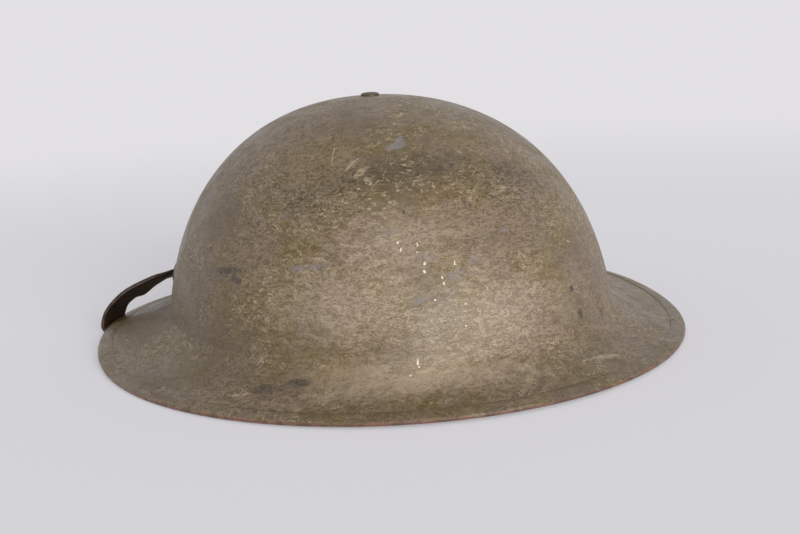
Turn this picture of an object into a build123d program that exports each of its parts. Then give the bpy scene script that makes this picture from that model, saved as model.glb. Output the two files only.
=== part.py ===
import os
from math import atan2, cos, degrees, exp, radians, sin, sqrt

from build123d import *

# A pressed steel combat helmet with a wide brim, its padded liner and its stowed chin strap.
# Lengths are in millimetres and angles in degrees. The front faces -Y, the back +Y, left is -X.
# A rise is a height above the mean plane of the brim's edge. An azimuth turns from +X to +Y.

# The pressed bowl, and how far the brim's edge stands out from the bowl's foot.
bowl_half_length = 124.8
bowl_half_width = 109.5
brim_end_reach = 29.7
brim_side_reach = 36.5
brim_half_length = bowl_half_length + brim_end_reach
brim_half_width = bowl_half_width + brim_side_reach
crown_rise = 116.0
crown_offset = -3.3
foot_rise = 16.0
wall_lean = 8.0
crown_flat_share = 0.48
wall_pull_share = 0.71
neck_pull = 5.0
brim_pull = 14.0
brim_slope = 16.0
sheet_thickness = 0.95
edge_saddle = 0.6
strap_bend = 3.3
strap_bend_spread = 26.0
bend_azimuths = (160.0, 20.0)
half_turn_azimuths = (-90.0, 90.0)
sections_per_half = 13

# The steel band folded over the brim's edge.
band_thickness = 0.6
band_flange = 6.5
band_gap = 0.05
band_butt_gap = 0.3

# Running fits and the gaps that soft pieces keep.
seat_gap = 0.1
pin_gap = 0.05
soft_gap = 0.3

# The crown's rivet, washer and pad.
shank_radius = 2.0
head_radius = 4.5
head_height = 1.7
pad_radius = 22.0
pad_thickness = 5.0
pad_dome_radius = 118.0
washer_radius = 8.0
washer_thickness = 0.8
leg_length = 5.5
leg_width = 2.6
leg_thickness = 1.0

# The liner. Its bands keep their room inside the bowl, and its tapes and net follow the crown.
tape_width = 25.0
tape_thickness = 1.6
tape_reach_share = 0.52
tape_wall_share = 7 / 18
tape_end_rise = 27.0
band_top_rise = 44.0
liner_end_room = 15.8
liner_side_room = 14.5
outer_band_thickness = 1.2
outer_band_foot_rise = 20.0
headband_thickness = 1.5
headband_foot_rise = 16.0
buffer_count = 12
buffer_radius = 4.75
buffer_bore_radius = 2.5
buffer_length = 22.0
buffer_gap = 0.2
net_thickness = 2.0
net_foot_rise = 37.0
net_ring_drop = 26.0
net_ring_radius = 24.0
net_crown_pull = 31.0
net_wall_share = 14 / 23
net_row_shares = (0.3, 0.55, 0.78)
net_mesh_count = 20
net_mesh_half_height = 7.0
net_mesh_width_share = 2.2608
lace_radius = 1.4
lace_knot_radius = 2.6

# The chin strap's lug on each side.
lug_azimuth = 162.0
lug_rise = 31.0
lug_turn = 15.0
lug_plate_width = 14.0
lug_plate_thickness = 1.0
lug_plate_top = 7.0
lug_plate_seat = 0.8
lug_ring_drop = 10.5
lug_ring_radius = 2.6
lug_rivet_head_radius = 4.75
lug_rivet_head_height = 1.2
lug_washer_radius = 5.0
wire_radius = 1.5
bail_bar_length = 26.0
bail_height = 14.0
bail_corner = 3.0
bail_tilt = 16.0

# The chin strap and its slide.
strap_width = 19.0
strap_thickness = 2.0
strap_sewn_length = 9.0
strap_pull_out = 66.0
seat_out = 7.4
seat_rise = 15.4
seat_lean = 45.0
slide_bar_width = 3.0
slide_slot_length = 9.0
slide_thickness = 1.2
slide_middle = 2.0
slide_out = 8.4
slide_rise = 16.6
slide_rail_width = 2.5
slide_side_gap = 1.0
left_run_length = 24.0
right_run_length = 18.0
sewn_end = 20.0
tail_end = 24.0

# Stations of the stowed strap from the bail to the back: azimuth on the left side, the share of
# the brim's width outward from the bowl, the rise as a share of the bowl's foot rise, the angle of
# the outer face above outward, and the share in which a cut follows the brim's edge.
under_stations = (
    (158.4, 0.36, 0.34, -108.0, 0.8),
    (158.0, 0.53, 0.23, -107.0, 1.0),
    (157.6, 0.70, 0.085, -107.0, 1.0),
    (157.3, 0.87, -0.088, -107.0, 1.0),
)
wrap_angles = (-95.0, -50.0, 0.0)
wrap_azimuth = 157.0
over_stations = (
    (156.8, 0.985, 0.37, 2.0, 1.0),
    (156.4, 0.94, 0.62, 14.0, 0.9),
    (155.5, 0.83, 0.87, 34.0, 0.6),
    (153.8, 0.66, 1.05, 52.0, 0.3),
    (151.4, 0.47, 1.13, 60.0, 0.1),
    (148.4, 0.32, 1.09, 54.0, 0.0),
    (144.0, 0.265, 1.00, 48.0, 0.0),
    (139.0, 0.240, 0.97, 45.0, 0.0),
)
seat_azimuths = (133.0, 125.0, 117.0)
cuts_per_station = 3


def ellipse_reach(azimuth, half_width, half_length, offset=0.0):
    # Distance to the ellipse from a point on the X axis that lies offset from its centre.
    c = cos(radians(azimuth))
    s = sin(radians(azimuth))
    square = c ** 2 / half_width ** 2 + s ** 2 / half_length ** 2
    linear = offset * c / half_width ** 2
    rest = (offset / half_width) ** 2 - 1
    return (sqrt(linear ** 2 - square * rest) - linear) / square


def edge_rise(azimuth):
    # The edge dips at the sides, and the stowed strap has bent it up where it crosses.
    bend = sum(exp(-(((azimuth - middle) / strap_bend_spread) ** 2)) for middle in bend_azimuths)
    return strap_bend * bend - edge_saddle * cos(radians(2 * azimuth))


band_nose = sheet_thickness / 2 + band_gap + band_thickness
edge_level = band_nose - min(edge_rise(azimuth) for azimuth in range(-90, 270))
crown_bottom = crown_rise - sheet_thickness
level_plane = Plane.XY.offset(edge_level)
crown_axis = Axis((crown_offset, 0, 0), (0, 0, 1))
crown_plane = Plane(origin=(crown_offset, 0, edge_level), x_dir=(1, 0, 0), z_dir=(0, -1, 0))


def section_plane(azimuth):
    # A plane through the crown axis: its X runs outward and its Y is the rise.
    c = cos(radians(azimuth))
    s = sin(radians(azimuth))
    return Plane(origin=(crown_offset, 0, edge_level), x_dir=(c, s, 0), z_dir=(s, -c, 0))


def moved(point, angle, distance):
    return (point[0] + distance * cos(radians(angle)), point[1] + distance * sin(radians(angle)))


def edge_middle(azimuth):
    reach = ellipse_reach(azimuth, brim_half_width, brim_half_length, crown_offset)
    return (reach - band_nose, edge_rise(azimuth))


def dome_curve(azimuth, depth):
    # The four control points of the bowl's side at a depth below its outer face.
    foot = ellipse_reach(azimuth, bowl_half_width, bowl_half_length, crown_offset)
    drop = crown_rise - foot_rise
    start = (shank_radius + pin_gap, crown_rise - depth)
    top = (crown_flat_share * foot, crown_rise - depth)
    end = moved((foot, foot_rise), wall_lean, -depth)
    wall = moved(end, 90 + wall_lean, wall_pull_share * drop)
    return [start, top, wall, end]


def neck_curve(azimuth, depth):
    # The four control points of the curve from the bowl's foot to the folded band.
    start = dome_curve(azimuth, depth)[-1]
    middle = moved(edge_middle(azimuth), 180 - brim_slope, band_flange)
    end = moved(middle, 90 - brim_slope, sheet_thickness / 2 - depth)
    near_start = moved(start, wall_lean - 90, neck_pull)
    near_end = moved(end, 180 - brim_slope, brim_pull)
    return [start, near_start, near_end, end]


def bezier_point(points, share):
    rest = 1 - share
    weights = (rest ** 3, 3 * share * rest ** 2, 3 * share ** 2 * rest, share ** 3)
    return tuple(sum(w * p[i] for w, p in zip(weights, points)) for i in (0, 1))


def wall_mark(azimuth, rise, depth):
    # The distance from the crown axis and the lean of the wall at a rise, by halving.
    points = dome_curve(azimuth, depth)
    low = 0.0
    high = 1.0
    for _ in range(40):
        share = (low + high) / 2
        if bezier_point(points, share)[1] > rise:
            low = share
        else:
            high = share
    here = bezier_point(points, low)
    above = bezier_point(points, low - 0.01)
    return here[0], degrees(atan2(here[0] - above[0], above[1] - here[1]))


def half_azimuths(start, end):
    step = (end - start) / (sections_per_half - 1)
    return [start + step * number for number in range(sections_per_half)]


def draw_sheet(azimuth):
    # The bowl, neck and brim in one section, open at the crown for the rivet.
    dome = dome_curve(azimuth, 0)
    neck = neck_curve(azimuth, 0)
    inner_dome = dome_curve(azimuth, sheet_thickness)
    inner_neck = neck_curve(azimuth, sheet_thickness)
    middle = edge_middle(azimuth)
    tip = moved(middle, 90 - brim_slope, sheet_thickness / 2)
    inner_tip = moved(middle, 90 - brim_slope, -sheet_thickness / 2)
    Bezier(*dome)
    Bezier(*neck)
    Polyline(neck[-1], tip, inner_tip, inner_neck[-1])
    Bezier(*inner_neck)
    Bezier(*inner_dome)
    Line(inner_dome[0], dome[0])


def draw_band(azimuth):
    # The folded strip: two flanges and the rounded nose that joins them.
    middle = edge_middle(azimuth)
    inner = sheet_thickness / 2 + band_gap
    outer = inner + band_thickness
    back = 180 - brim_slope
    up = 90 - brim_slope
    inner_top = moved(middle, up, inner)
    inner_low = moved(middle, up, -inner)
    outer_top = moved(middle, up, outer)
    outer_low = moved(middle, up, -outer)
    Line(moved(inner_top, back, band_flange), inner_top)
    ThreePointArc(inner_top, moved(middle, -brim_slope, inner), inner_low)
    Line(inner_low, moved(inner_low, back, band_flange))
    Line(moved(inner_low, back, band_flange), moved(outer_low, back, band_flange))
    Line(moved(outer_low, back, band_flange), outer_low)
    ThreePointArc(outer_low, moved(middle, -brim_slope, outer), outer_top)
    Line(outer_top, moved(outer_top, back, band_flange))
    Line(moved(outer_top, back, band_flange), moved(inner_top, back, band_flange))


def lug_axes(side):
    # The lug's seat on the inner wall: its origin at the rivet, its inward and its upward axis.
    # The stowed strap has turned the bracket on its rivet, so its loop points to the back.
    azimuth = lug_azimuth if side < 0 else 180 - lug_azimuth
    reach, lean = wall_mark(azimuth, lug_rise, sheet_thickness)
    x = crown_offset + reach * cos(radians(azimuth))
    y = reach * sin(radians(azimuth))
    out = Vector(x / bowl_half_width ** 2, y / bowl_half_length ** 2, 0).normalized()
    back = Vector(-side * out.Y, side * out.X, 0)
    rise = Vector(0, 0, 1)
    inward = out * -cos(radians(lean)) - rise * sin(radians(lean))
    wall_up = rise * cos(radians(lean)) - out * sin(radians(lean))
    up = wall_up * cos(radians(lug_turn)) - back * sin(radians(lug_turn))
    return Vector(x, y, edge_level + lug_rise), inward, up


def lug_point(side, along, inward_distance):
    origin, inward, up = lug_axes(side)
    return origin + up * along + inward * inward_distance


def bail_direction(side):
    inward, up = lug_axes(side)[1:]
    return inward * sin(radians(bail_tilt)) - up * cos(radians(bail_tilt))


def pull_direction(side):
    # The way the strap leaves the bail's lower bar: past the bail's own plane, toward the wall.
    inward, up = lug_axes(side)[1:]
    return -inward * sin(radians(strap_pull_out)) - up * cos(radians(strap_pull_out))


ring_seat = lug_plate_seat + lug_ring_radius


def lower_bar(side):
    return lug_point(side, -lug_ring_drop, ring_seat) + bail_direction(side) * bail_height


def station(side, azimuth, reach, rise, lean, grip=0.0):
    # One station on either side: its point, its outer face's normal, the brim's line and the grip.
    x = reach * cos(radians(azimuth))
    y = reach * sin(radians(azimuth))
    point = Vector(-side * x, y, edge_level + rise)
    out = Vector(-side * x / brim_half_width ** 2, y / brim_half_length ** 2, 0).normalized()
    normal = out * cos(radians(lean)) + Vector(0, 0, sin(radians(lean)))
    return point, normal, Vector(-side * out.Y, side * out.X, 0), grip


def brim_station(side, azimuth, out_share, rise_share, lean, grip):
    foot = ellipse_reach(azimuth, bowl_half_width, bowl_half_length)
    edge = ellipse_reach(azimuth, brim_half_width, brim_half_length)
    bend = edge_rise(azimuth) * out_share
    reach = foot + out_share * (edge - foot)
    return station(side, azimuth, reach, rise_share * foot_rise + bend, lean, grip)


def wrap_station(side, lean):
    edge = ellipse_reach(wrap_azimuth, brim_half_width, brim_half_length) - band_nose
    distance = band_nose + soft_gap + strap_thickness / 2
    reach, rise = moved((edge, edge_rise(wrap_azimuth)), lean, distance)
    return station(side, wrap_azimuth, reach, rise, lean, 1.0)


def seat_station(side, azimuth):
    foot = ellipse_reach(azimuth, bowl_half_width, bowl_half_length)
    return station(side, azimuth, foot + seat_out, seat_rise, seat_lean)


seat_normal = Vector(0, cos(radians(seat_lean)), sin(radians(seat_lean)))
slide_centre = Vector(0, bowl_half_length + slide_out, edge_level + slide_rise)
slide_plane = Plane(origin=slide_centre, x_dir=(1, 0, 0), z_dir=seat_normal)
run_plane = Plane(origin=slide_centre, x_dir=(1, 0, 0), z_dir=slide_plane.y_dir * -1)


def run_station(along, height):
    point = slide_centre + Vector(along, 0, 0) + seat_normal * height
    return point, seat_normal, Vector(1, 0, 0), 0.0


def pull_face(side):
    inward, up = lug_axes(side)[1:]
    return inward * cos(radians(strap_pull_out)) - up * sin(radians(strap_pull_out))


def strap_stations(side):
    # The run of one half from the bail to its last seated station near the back.
    reach = wire_radius + strap_sewn_length - strap_thickness / 2
    start = lower_bar(side) + pull_direction(side) * reach
    bar = pull_face(side).cross(pull_direction(side)) * -side
    stations = [(start, pull_face(side), bar, 1.0)]
    stations += [brim_station(side, *row) for row in under_stations]
    stations += [wrap_station(side, lean) for lean in wrap_angles]
    stations += [brim_station(side, *row) for row in over_stations]
    stations += [seat_station(side, azimuth) for azimuth in seat_azimuths]
    return stations


def between(rows, index, share):
    # A smooth value between two of the rows, led by their neighbours.
    last = len(rows) - 1
    before = rows[max(index - 1, 0)]
    here = rows[index]
    after = rows[min(index + 1, last)]
    beyond = rows[min(index + 2, last)]
    cubic = (here - after) * 3 + beyond - before
    square = before * 2 - here * 5 + after * 4 - beyond
    return here + ((after - before) + (square + cubic * share) * share) * (share / 2)


def cut_planes(side, stations):
    # Closely spaced planes across the strap, each with the length of its cut. Their X lies along
    # the cut and their Y is the face's normal.
    points, normals, lines, grips = zip(*stations)
    steps = [(i, j / cuts_per_station) for i in range(len(points) - 1)
             for j in range(cuts_per_station)] + [(len(points) - 1, 0)]
    path = [between(points, index, share) for index, share in steps]
    planes = []
    for number, (index, share) in enumerate(steps):
        ahead = path[min(number + 1, len(path) - 1)] - path[max(number - 1, 0)]
        normal = between(normals, index, share)
        square = normal.cross(ahead).normalized() * side
        line = between(lines, index, share).normalized()
        line = line * (1 if line.dot(square) > 0 else -1)
        grip = between(grips, index, share)
        cut = (line * grip + square * (1 - grip)).normalized()
        face = (normal - cut * normal.dot(cut)).normalized()
        length = strap_width / cut.dot(face.cross(ahead).normalized() * side)
        planes.append((Plane(origin=path[number], x_dir=cut, z_dir=cut.cross(face)), length))
    return planes


os.makedirs("parts", exist_ok=True)

with BuildPart() as shell:
    for side in (-1, 1):
        start = half_turn_azimuths[0] if side > 0 else half_turn_azimuths[1]
        for azimuth in half_azimuths(start, start + 180):
            with BuildSketch(section_plane(azimuth)):
                with BuildLine():
                    draw_sheet(azimuth)
                make_face()
        loft()
    for side in (-1, 1):
        origin, inward, up = lug_axes(side)
        with BuildSketch(Plane(origin=origin, z_dir=inward)):
            Circle(shank_radius + pin_gap)
        extrude(amount=lug_rivet_head_radius, both=True, mode=Mode.SUBTRACT)
shell.part.label = "shell"
export_step(shell.part, "parts/shell.step")

with BuildPart() as rim_band:
    gap = degrees(band_butt_gap / 2 / brim_half_length)
    for start, end in ((-90, 90 - gap), (90 + gap, 270)):
        for azimuth in half_azimuths(start, end):
            with BuildSketch(section_plane(azimuth)):
                with BuildLine():
                    draw_band(azimuth)
                make_face()
        loft()
rim_band.part.label = "rim_band"
export_step(rim_band.part, "parts/rim_band.step")

pad_top = crown_bottom - seat_gap
pad_flat = pad_top - pad_thickness
upper_tape_rise = pad_flat - seat_gap - tape_thickness / 2
lower_tape_rise = upper_tape_rise - tape_thickness - seat_gap
crown_washer_top = lower_tape_rise - tape_thickness / 2 - seat_gap
crown_leg_top = crown_washer_top - washer_thickness - seat_gap
hole_radius = shank_radius + pin_gap

with BuildPart() as crown_rivet:
    with BuildSketch(crown_plane):
        with BuildLine():
            top = (0, crown_rise + head_height)
            rim = (head_radius, crown_rise + head_height / 3)
            seat = (head_radius, crown_rise + pin_gap)
            neck = (shank_radius, crown_rise + pin_gap)
            foot = (shank_radius, crown_leg_top - leg_thickness)
            Bezier(top, (head_radius, top[1]), rim)
            Polyline(rim, seat, neck, foot, (0, foot[1]), top)
        make_face()
    revolve(axis=crown_axis)
    with BuildSketch(level_plane.offset(crown_leg_top - leg_thickness)):
        with Locations((crown_offset, 0)):
            Rectangle(2 * leg_length, leg_width)
    extrude(amount=leg_thickness)
crown_rivet.part.label = "crown_rivet"
export_step(crown_rivet.part, "parts/crown_rivet.step")

with BuildPart() as crown_washer:
    with BuildSketch(level_plane.offset(crown_washer_top - washer_thickness)):
        with Locations((crown_offset, 0)):
            Circle(washer_radius)
            Circle(hole_radius, mode=Mode.SUBTRACT)
    extrude(amount=washer_thickness)
crown_washer.part.label = "crown_washer"
export_step(crown_washer.part, "parts/crown_washer.step")

with BuildPart() as crown_felt_pad:
    with BuildSketch(crown_plane):
        with BuildLine():
            inner = (hole_radius, pad_top)
            fall = pad_dome_radius - sqrt(pad_dome_radius ** 2 - pad_radius ** 2)
            outer = (pad_radius, pad_top - fall)
            RadiusArc(inner, outer, pad_dome_radius)
            Polyline(outer, (pad_radius, pad_flat), (hole_radius, pad_flat), inner)
        make_face()
    revolve(axis=crown_axis)
crown_felt_pad.part.label = "crown_felt_pad"
export_step(crown_felt_pad.part, "parts/crown_felt_pad.step")

outer_band_half_length = bowl_half_length - liner_end_room
outer_band_half_width = bowl_half_width - liner_side_room
band_spacing = outer_band_thickness + 2 * (buffer_radius + buffer_gap)
headband_half_length = outer_band_half_length - band_spacing
headband_half_width = outer_band_half_width - band_spacing
tape_wall_rise = band_top_rise + tape_wall_share * (crown_rise - band_top_rise)
tape_gap = seat_gap + tape_thickness / 2
tapes = (
    ("front_back_tape", crown_offset, (0, 1, 0), (1, 0, 0), 0, outer_band_half_length, upper_tape_rise),
    ("side_tape", 0, (1, 0, 0), (0, -1, 0), crown_offset, outer_band_half_width, lower_tape_rise),
)
for name, origin, x_dir, z_dir, crown_x, half_length, crown_level in tapes:
    with BuildPart() as tape:
        end = half_length + tape_gap
        with BuildSketch(Plane(origin=(origin, 0, edge_level), x_dir=x_dir, z_dir=z_dir)):
            with BuildLine():
                for side in (-1, 1):
                    middle = (crown_x + side * tape_width / 2, crown_level)
                    pull = (crown_x + side * tape_reach_share * end, crown_level)
                    top = (side * end, band_top_rise)
                    Bezier(middle, pull, (side * end, tape_wall_rise), top)
                    Line(top, (side * end, tape_end_rise))
                Line((crown_x - tape_width / 2, crown_level), (crown_x + tape_width / 2, crown_level))
            trace(line_width=tape_thickness)
        extrude(amount=tape_width / 2, both=True)
        with BuildSketch(level_plane.offset(crown_level)):
            with Locations((crown_offset, 0)):
                Circle(hole_radius)
        extrude(amount=tape_thickness, both=True, mode=Mode.SUBTRACT)
    tape.part.label = name
    export_step(tape.part, f"parts/{name}.step")

with BuildPart() as liner_outer_band:
    with BuildSketch(level_plane.offset(outer_band_foot_rise)):
        Ellipse(outer_band_half_width, outer_band_half_length)
        Ellipse(outer_band_half_width - outer_band_thickness,
                outer_band_half_length - outer_band_thickness, mode=Mode.SUBTRACT)
    extrude(amount=band_top_rise - outer_band_foot_rise)
liner_outer_band.part.label = "liner_outer_band"
export_step(liner_outer_band.part, "parts/liner_outer_band.step")

with BuildPart() as liner_headband:
    with BuildSketch(level_plane.offset(headband_foot_rise)):
        Ellipse(headband_half_width, headband_half_length)
        Ellipse(headband_half_width - headband_thickness,
                headband_half_length - headband_thickness, mode=Mode.SUBTRACT)
    extrude(amount=band_top_rise - headband_foot_rise)
liner_headband.part.label = "liner_headband"
export_step(liner_headband.part, "parts/liner_headband.step")

buffer_half_width = (outer_band_half_width - outer_band_thickness + headband_half_width) / 2
buffer_half_length = (outer_band_half_length - outer_band_thickness + headband_half_length) / 2
buffer_foot_rise = (outer_band_foot_rise + band_top_rise - buffer_length) / 2
for number in range(buffer_count):
    turn = radians(360 * (number + 0.5) / buffer_count)
    with BuildPart() as rubber_buffer:
        with BuildSketch(level_plane.offset(buffer_foot_rise)):
            with Locations((buffer_half_width * cos(turn), buffer_half_length * sin(turn))):
                Circle(buffer_radius)
                Circle(buffer_bore_radius, mode=Mode.SUBTRACT)
        extrude(amount=buffer_length)
    rubber_buffer.part.label = f"rubber_buffer_{number + 1:02d}"
    export_step(rubber_buffer.part, f"parts/rubber_buffer_{number + 1:02d}.step")

net_half_width = headband_half_width - headband_thickness - soft_gap
net_half_length = headband_half_length - headband_thickness - soft_gap
net_ring_rise = crown_rise - net_ring_drop
net_wall_rise = band_top_rise + net_wall_share * (net_ring_rise - band_top_rise)
net_outer = (
    (net_half_width, band_top_rise),
    (net_half_width, net_wall_rise),
    (net_ring_radius + net_crown_pull, net_ring_rise),
    (net_ring_radius, net_ring_rise),
)
net_inner = (
    moved(net_outer[0], 180, net_thickness),
    moved(net_outer[1], 180, net_thickness),
    moved(net_outer[2], -90, net_thickness),
    moved(net_outer[3], -90, net_thickness),
)
with BuildPart() as head_net:
    with BuildSketch(Plane.XZ.offset(0)) as net_section:
        with BuildLine():
            lifted = [(x, z + edge_level) for x, z in net_outer]
            inner_lifted = [(x, z + edge_level) for x, z in net_inner]
            foot = (net_half_width, net_foot_rise + edge_level)
            inner_foot = (net_half_width - net_thickness, net_foot_rise + edge_level)
            Bezier(*lifted)
            Bezier(*inner_lifted)
            Line(lifted[3], inner_lifted[3])
            Polyline(lifted[0], foot, inner_foot, inner_lifted[0])
        make_face()
    revolve(axis=Axis.Z)
    for row, share in enumerate(net_row_shares):
        radius, rise = bezier_point(net_outer, share)
        ahead = bezier_point(net_outer, share + 0.01)
        lean = atan2(ahead[1] - rise, radius - ahead[0])
        for number in range(net_mesh_count):
            turn = radians(360 * (number + row % 2 / 2) / net_mesh_count)
            across = Vector(-sin(turn), cos(turn), 0)
            out = Vector(cos(turn) * sin(lean), sin(turn) * sin(lean), cos(lean))
            point = (radius * cos(turn), radius * sin(turn), rise + edge_level)
            half = net_mesh_width_share * radius / net_mesh_count
            with BuildSketch(Plane(origin=point, x_dir=across, z_dir=out)):
                Polygon((-half, 0), (0, -net_mesh_half_height), (half, 0), (0, net_mesh_half_height))
    extrude(amount=net_thickness * 2, both=True, mode=Mode.SUBTRACT)
    scale(by=(1, net_half_length / net_half_width, 1))
head_net.part.label = "head_net"
export_step(head_net.part, "parts/head_net.step")

with BuildPart() as net_draw_lace:
    with BuildSketch(Plane.XZ):
        with Locations((net_ring_radius - lace_radius - seat_gap, net_ring_rise + edge_level)):
            Circle(lace_radius)
    revolve(axis=Axis.Z)
    scale(by=(1, net_half_length / net_half_width, 1))
    with Locations((net_ring_radius - lace_radius - lace_knot_radius, 0, net_ring_rise + edge_level)):
        Sphere(lace_knot_radius)
net_draw_lace.part.label = "net_draw_lace"
export_step(net_draw_lace.part, "parts/net_draw_lace.step")

lug_washer_seat = lug_plate_seat + lug_plate_thickness + seat_gap
lug_leg_seat = lug_washer_seat + washer_thickness + seat_gap
for side, name in ((-1, "left"), (1, "right")):
    origin, inward, up = lug_axes(side)
    across = up.cross(inward)
    profile_plane = Plane(origin=origin, x_dir=up, z_dir=across)

    with BuildPart() as bail_bracket:
        with BuildSketch(profile_plane):
            with Locations((-lug_ring_drop, ring_seat)):
                Circle(lug_ring_radius)
            with Locations(((lug_plate_top - lug_ring_drop) / 2,
                            lug_plate_seat + lug_plate_thickness / 2)):
                Rectangle(lug_plate_top + lug_ring_drop, lug_plate_thickness)
            with Locations((-lug_ring_drop, ring_seat)):
                Circle(wire_radius + 2 * pin_gap, mode=Mode.SUBTRACT)
        extrude(amount=lug_plate_width / 2, both=True)
        with BuildSketch(Plane(origin=origin, z_dir=inward)):
            Circle(hole_radius)
        extrude(amount=lug_plate_seat + 2 * lug_plate_thickness, mode=Mode.SUBTRACT)
    bail_bracket.part.label = f"{name}_bail_bracket"
    export_step(bail_bracket.part, f"parts/{name}_bail_bracket.step")

    with BuildPart() as bracket_rivet:
        with BuildSketch(profile_plane):
            with BuildLine():
                head_seat = -sheet_thickness - pin_gap - seat_gap
                top = (0, head_seat - lug_rivet_head_height)
                rim = (lug_rivet_head_radius, head_seat - lug_rivet_head_height / 3)
                seat = (lug_rivet_head_radius, head_seat)
                neck = (shank_radius, head_seat)
                foot = (shank_radius, lug_leg_seat + leg_thickness)
                Bezier(top, (lug_rivet_head_radius, top[1]), rim)
                Polyline(rim, seat, neck, foot, (0, foot[1]), top)
            make_face()
        revolve(axis=Axis(origin, inward))
        with BuildSketch(Plane(origin=origin + inward * lug_leg_seat, x_dir=across, z_dir=inward)):
            Rectangle(2 * leg_length, leg_width)
        extrude(amount=leg_thickness)
    bracket_rivet.part.label = f"{name}_bracket_rivet"
    export_step(bracket_rivet.part, f"parts/{name}_bracket_rivet.step")

    with BuildPart() as bracket_washer:
        with BuildSketch(Plane(origin=origin + inward * lug_washer_seat, z_dir=inward)):
            Circle(lug_washer_radius)
            Circle(hole_radius, mode=Mode.SUBTRACT)
        extrude(amount=washer_thickness)
    bracket_washer.part.label = f"{name}_bracket_washer"
    export_step(bracket_washer.part, f"parts/{name}_bracket_washer.step")

    hinge = lug_point(side, -lug_ring_drop, ring_seat)
    bail_plane = Plane(origin=hinge, x_dir=across, z_dir=across.cross(bail_direction(side)))
    half_bar = bail_bar_length / 2
    with BuildPart() as bail:
        with BuildLine(bail_plane) as bail_path:
            Polyline((half_bar, 0), (half_bar, bail_height), (-half_bar, bail_height),
                     (-half_bar, 0), close=True)
            fillet(bail_path.vertices(), radius=bail_corner)
        wire = bail_path.wire()
        with BuildSketch(Plane(origin=wire @ 0, z_dir=wire % 0)):
            Circle(wire_radius)
        sweep(path=wire)
    bail.part.label = f"{name}_bail"
    export_step(bail.part, f"parts/{name}_bail.step")

run_left_bar = slide_middle - slide_bar_width - slide_slot_length
run_right_bar = slide_middle + slide_bar_width + slide_slot_length
bar_pass = slide_thickness / 2 + soft_gap + strap_thickness / 2
slot_width = strap_width + 2 * slide_side_gap

with BuildPart() as strap_slide:
    with BuildSketch(slide_plane):
        with Locations((slide_middle, 0)):
            full_length = 3 * slide_bar_width + 2 * slide_slot_length
            Rectangle(full_length, slot_width + 2 * slide_rail_width)
        with Locations((slide_middle - (slide_bar_width + slide_slot_length) / 2, 0),
                       (slide_middle + (slide_bar_width + slide_slot_length) / 2, 0)):
            Rectangle(slide_slot_length, slot_width, mode=Mode.SUBTRACT)
    extrude(amount=slide_thickness / 2, both=True)
strap_slide.part.label = "strap_slide"
export_step(strap_slide.part, "parts/strap_slide.step")


def draw_bail_loop():
    # The strap's end goes round the bail's bar and is sewn to itself.
    Circle(wire_radius + soft_gap + strap_thickness)
    with Locations(((wire_radius + strap_sewn_length) / 2, 0)):
        Rectangle(wire_radius + strap_sewn_length, 2 * strap_thickness)
    Circle(wire_radius + soft_gap, mode=Mode.SUBTRACT)


with BuildPart() as left_strap:
    with BuildSketch(Plane(origin=lower_bar(-1), x_dir=pull_direction(-1),
                           z_dir=pull_direction(-1).cross(pull_face(-1)))):
        draw_bail_loop()
    extrude(amount=strap_width / 2, both=True)
    last = [run_station(-left_run_length, -strap_thickness / 2)]
    for plane, length in cut_planes(-1, strap_stations(-1) + last):
        with BuildSketch(plane):
            Rectangle(length, strap_thickness)
    loft(ruled=True)
    with BuildSketch(run_plane):
        ring_length = slide_bar_width + 2 * (soft_gap + strap_thickness)
        ring_height = slide_thickness + 2 * (soft_gap + strap_thickness)
        with Locations((run_left_bar, 0)):
            RectangleRounded(ring_length, ring_height, strap_thickness)
        with Locations(((run_left_bar - sewn_end) / 2, 0)):
            Rectangle(sewn_end + run_left_bar, 2 * strap_thickness)
        with Locations((-(sewn_end + left_run_length) / 2, -strap_thickness / 2)):
            Rectangle(left_run_length - sewn_end + strap_thickness / 2, strap_thickness)
        with Locations((run_left_bar, 0)):
            Rectangle(slide_bar_width + 2 * soft_gap, slide_thickness + 2 * soft_gap,
                      mode=Mode.SUBTRACT)
    extrude(amount=strap_width / 2, both=True)
left_strap.part.label = "left_strap"
export_step(left_strap.part, "parts/left_strap.step")

with BuildPart() as right_strap:
    with BuildSketch(Plane(origin=lower_bar(1), x_dir=pull_direction(1),
                           z_dir=pull_direction(1).cross(pull_face(1)))):
        draw_bail_loop()
    extrude(amount=strap_width / 2, both=True)
    last = [run_station(right_run_length, bar_pass)]
    for plane, length in cut_planes(1, strap_stations(1) + last):
        with BuildSketch(plane):
            Rectangle(length, strap_thickness)
    loft(ruled=True)
    with BuildSketch(run_plane):
        with BuildLine():
            half = slide_bar_width / 2
            ring_top = bar_pass + strap_thickness + soft_gap
            tail_rise = strap_thickness + soft_gap + strap_thickness / 2
            third = slide_slot_length / 3
            right_end = (right_run_length + strap_thickness / 2, bar_pass)
            over_right = (run_right_bar - half, bar_pass)
            under_right = (slide_middle + half, -bar_pass)
            under_left = (slide_middle - half, -bar_pass)
            over_ring = (run_left_bar + half, ring_top)
            past_ring = (run_left_bar - half, ring_top)
            laid = (past_ring[0] - 2 * third, tail_rise)
            Line(right_end, over_right)
            Bezier(over_right, (over_right[0] - third, bar_pass),
                   (under_right[0] + third, -bar_pass), under_right)
            Line(under_right, under_left)
            Bezier(under_left, (under_left[0] - third, -bar_pass),
                   (over_ring[0] + 4 * third / 3, ring_top), over_ring)
            Line(over_ring, past_ring)
            Bezier(past_ring, (past_ring[0] - third, ring_top), (laid[0] + third, tail_rise), laid)
            Line(laid, (-tail_end, tail_rise))
        trace(line_width=strap_thickness)
    extrude(amount=strap_width / 2, both=True)
right_strap.part.label = "right_strap"
export_step(right_strap.part, "parts/right_strap.step")
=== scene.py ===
from math import atan2, cos, degrees, pi, radians, sin

import bmesh
import bpy
import numpy as np
from mathutils import Matrix, Vector


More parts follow.
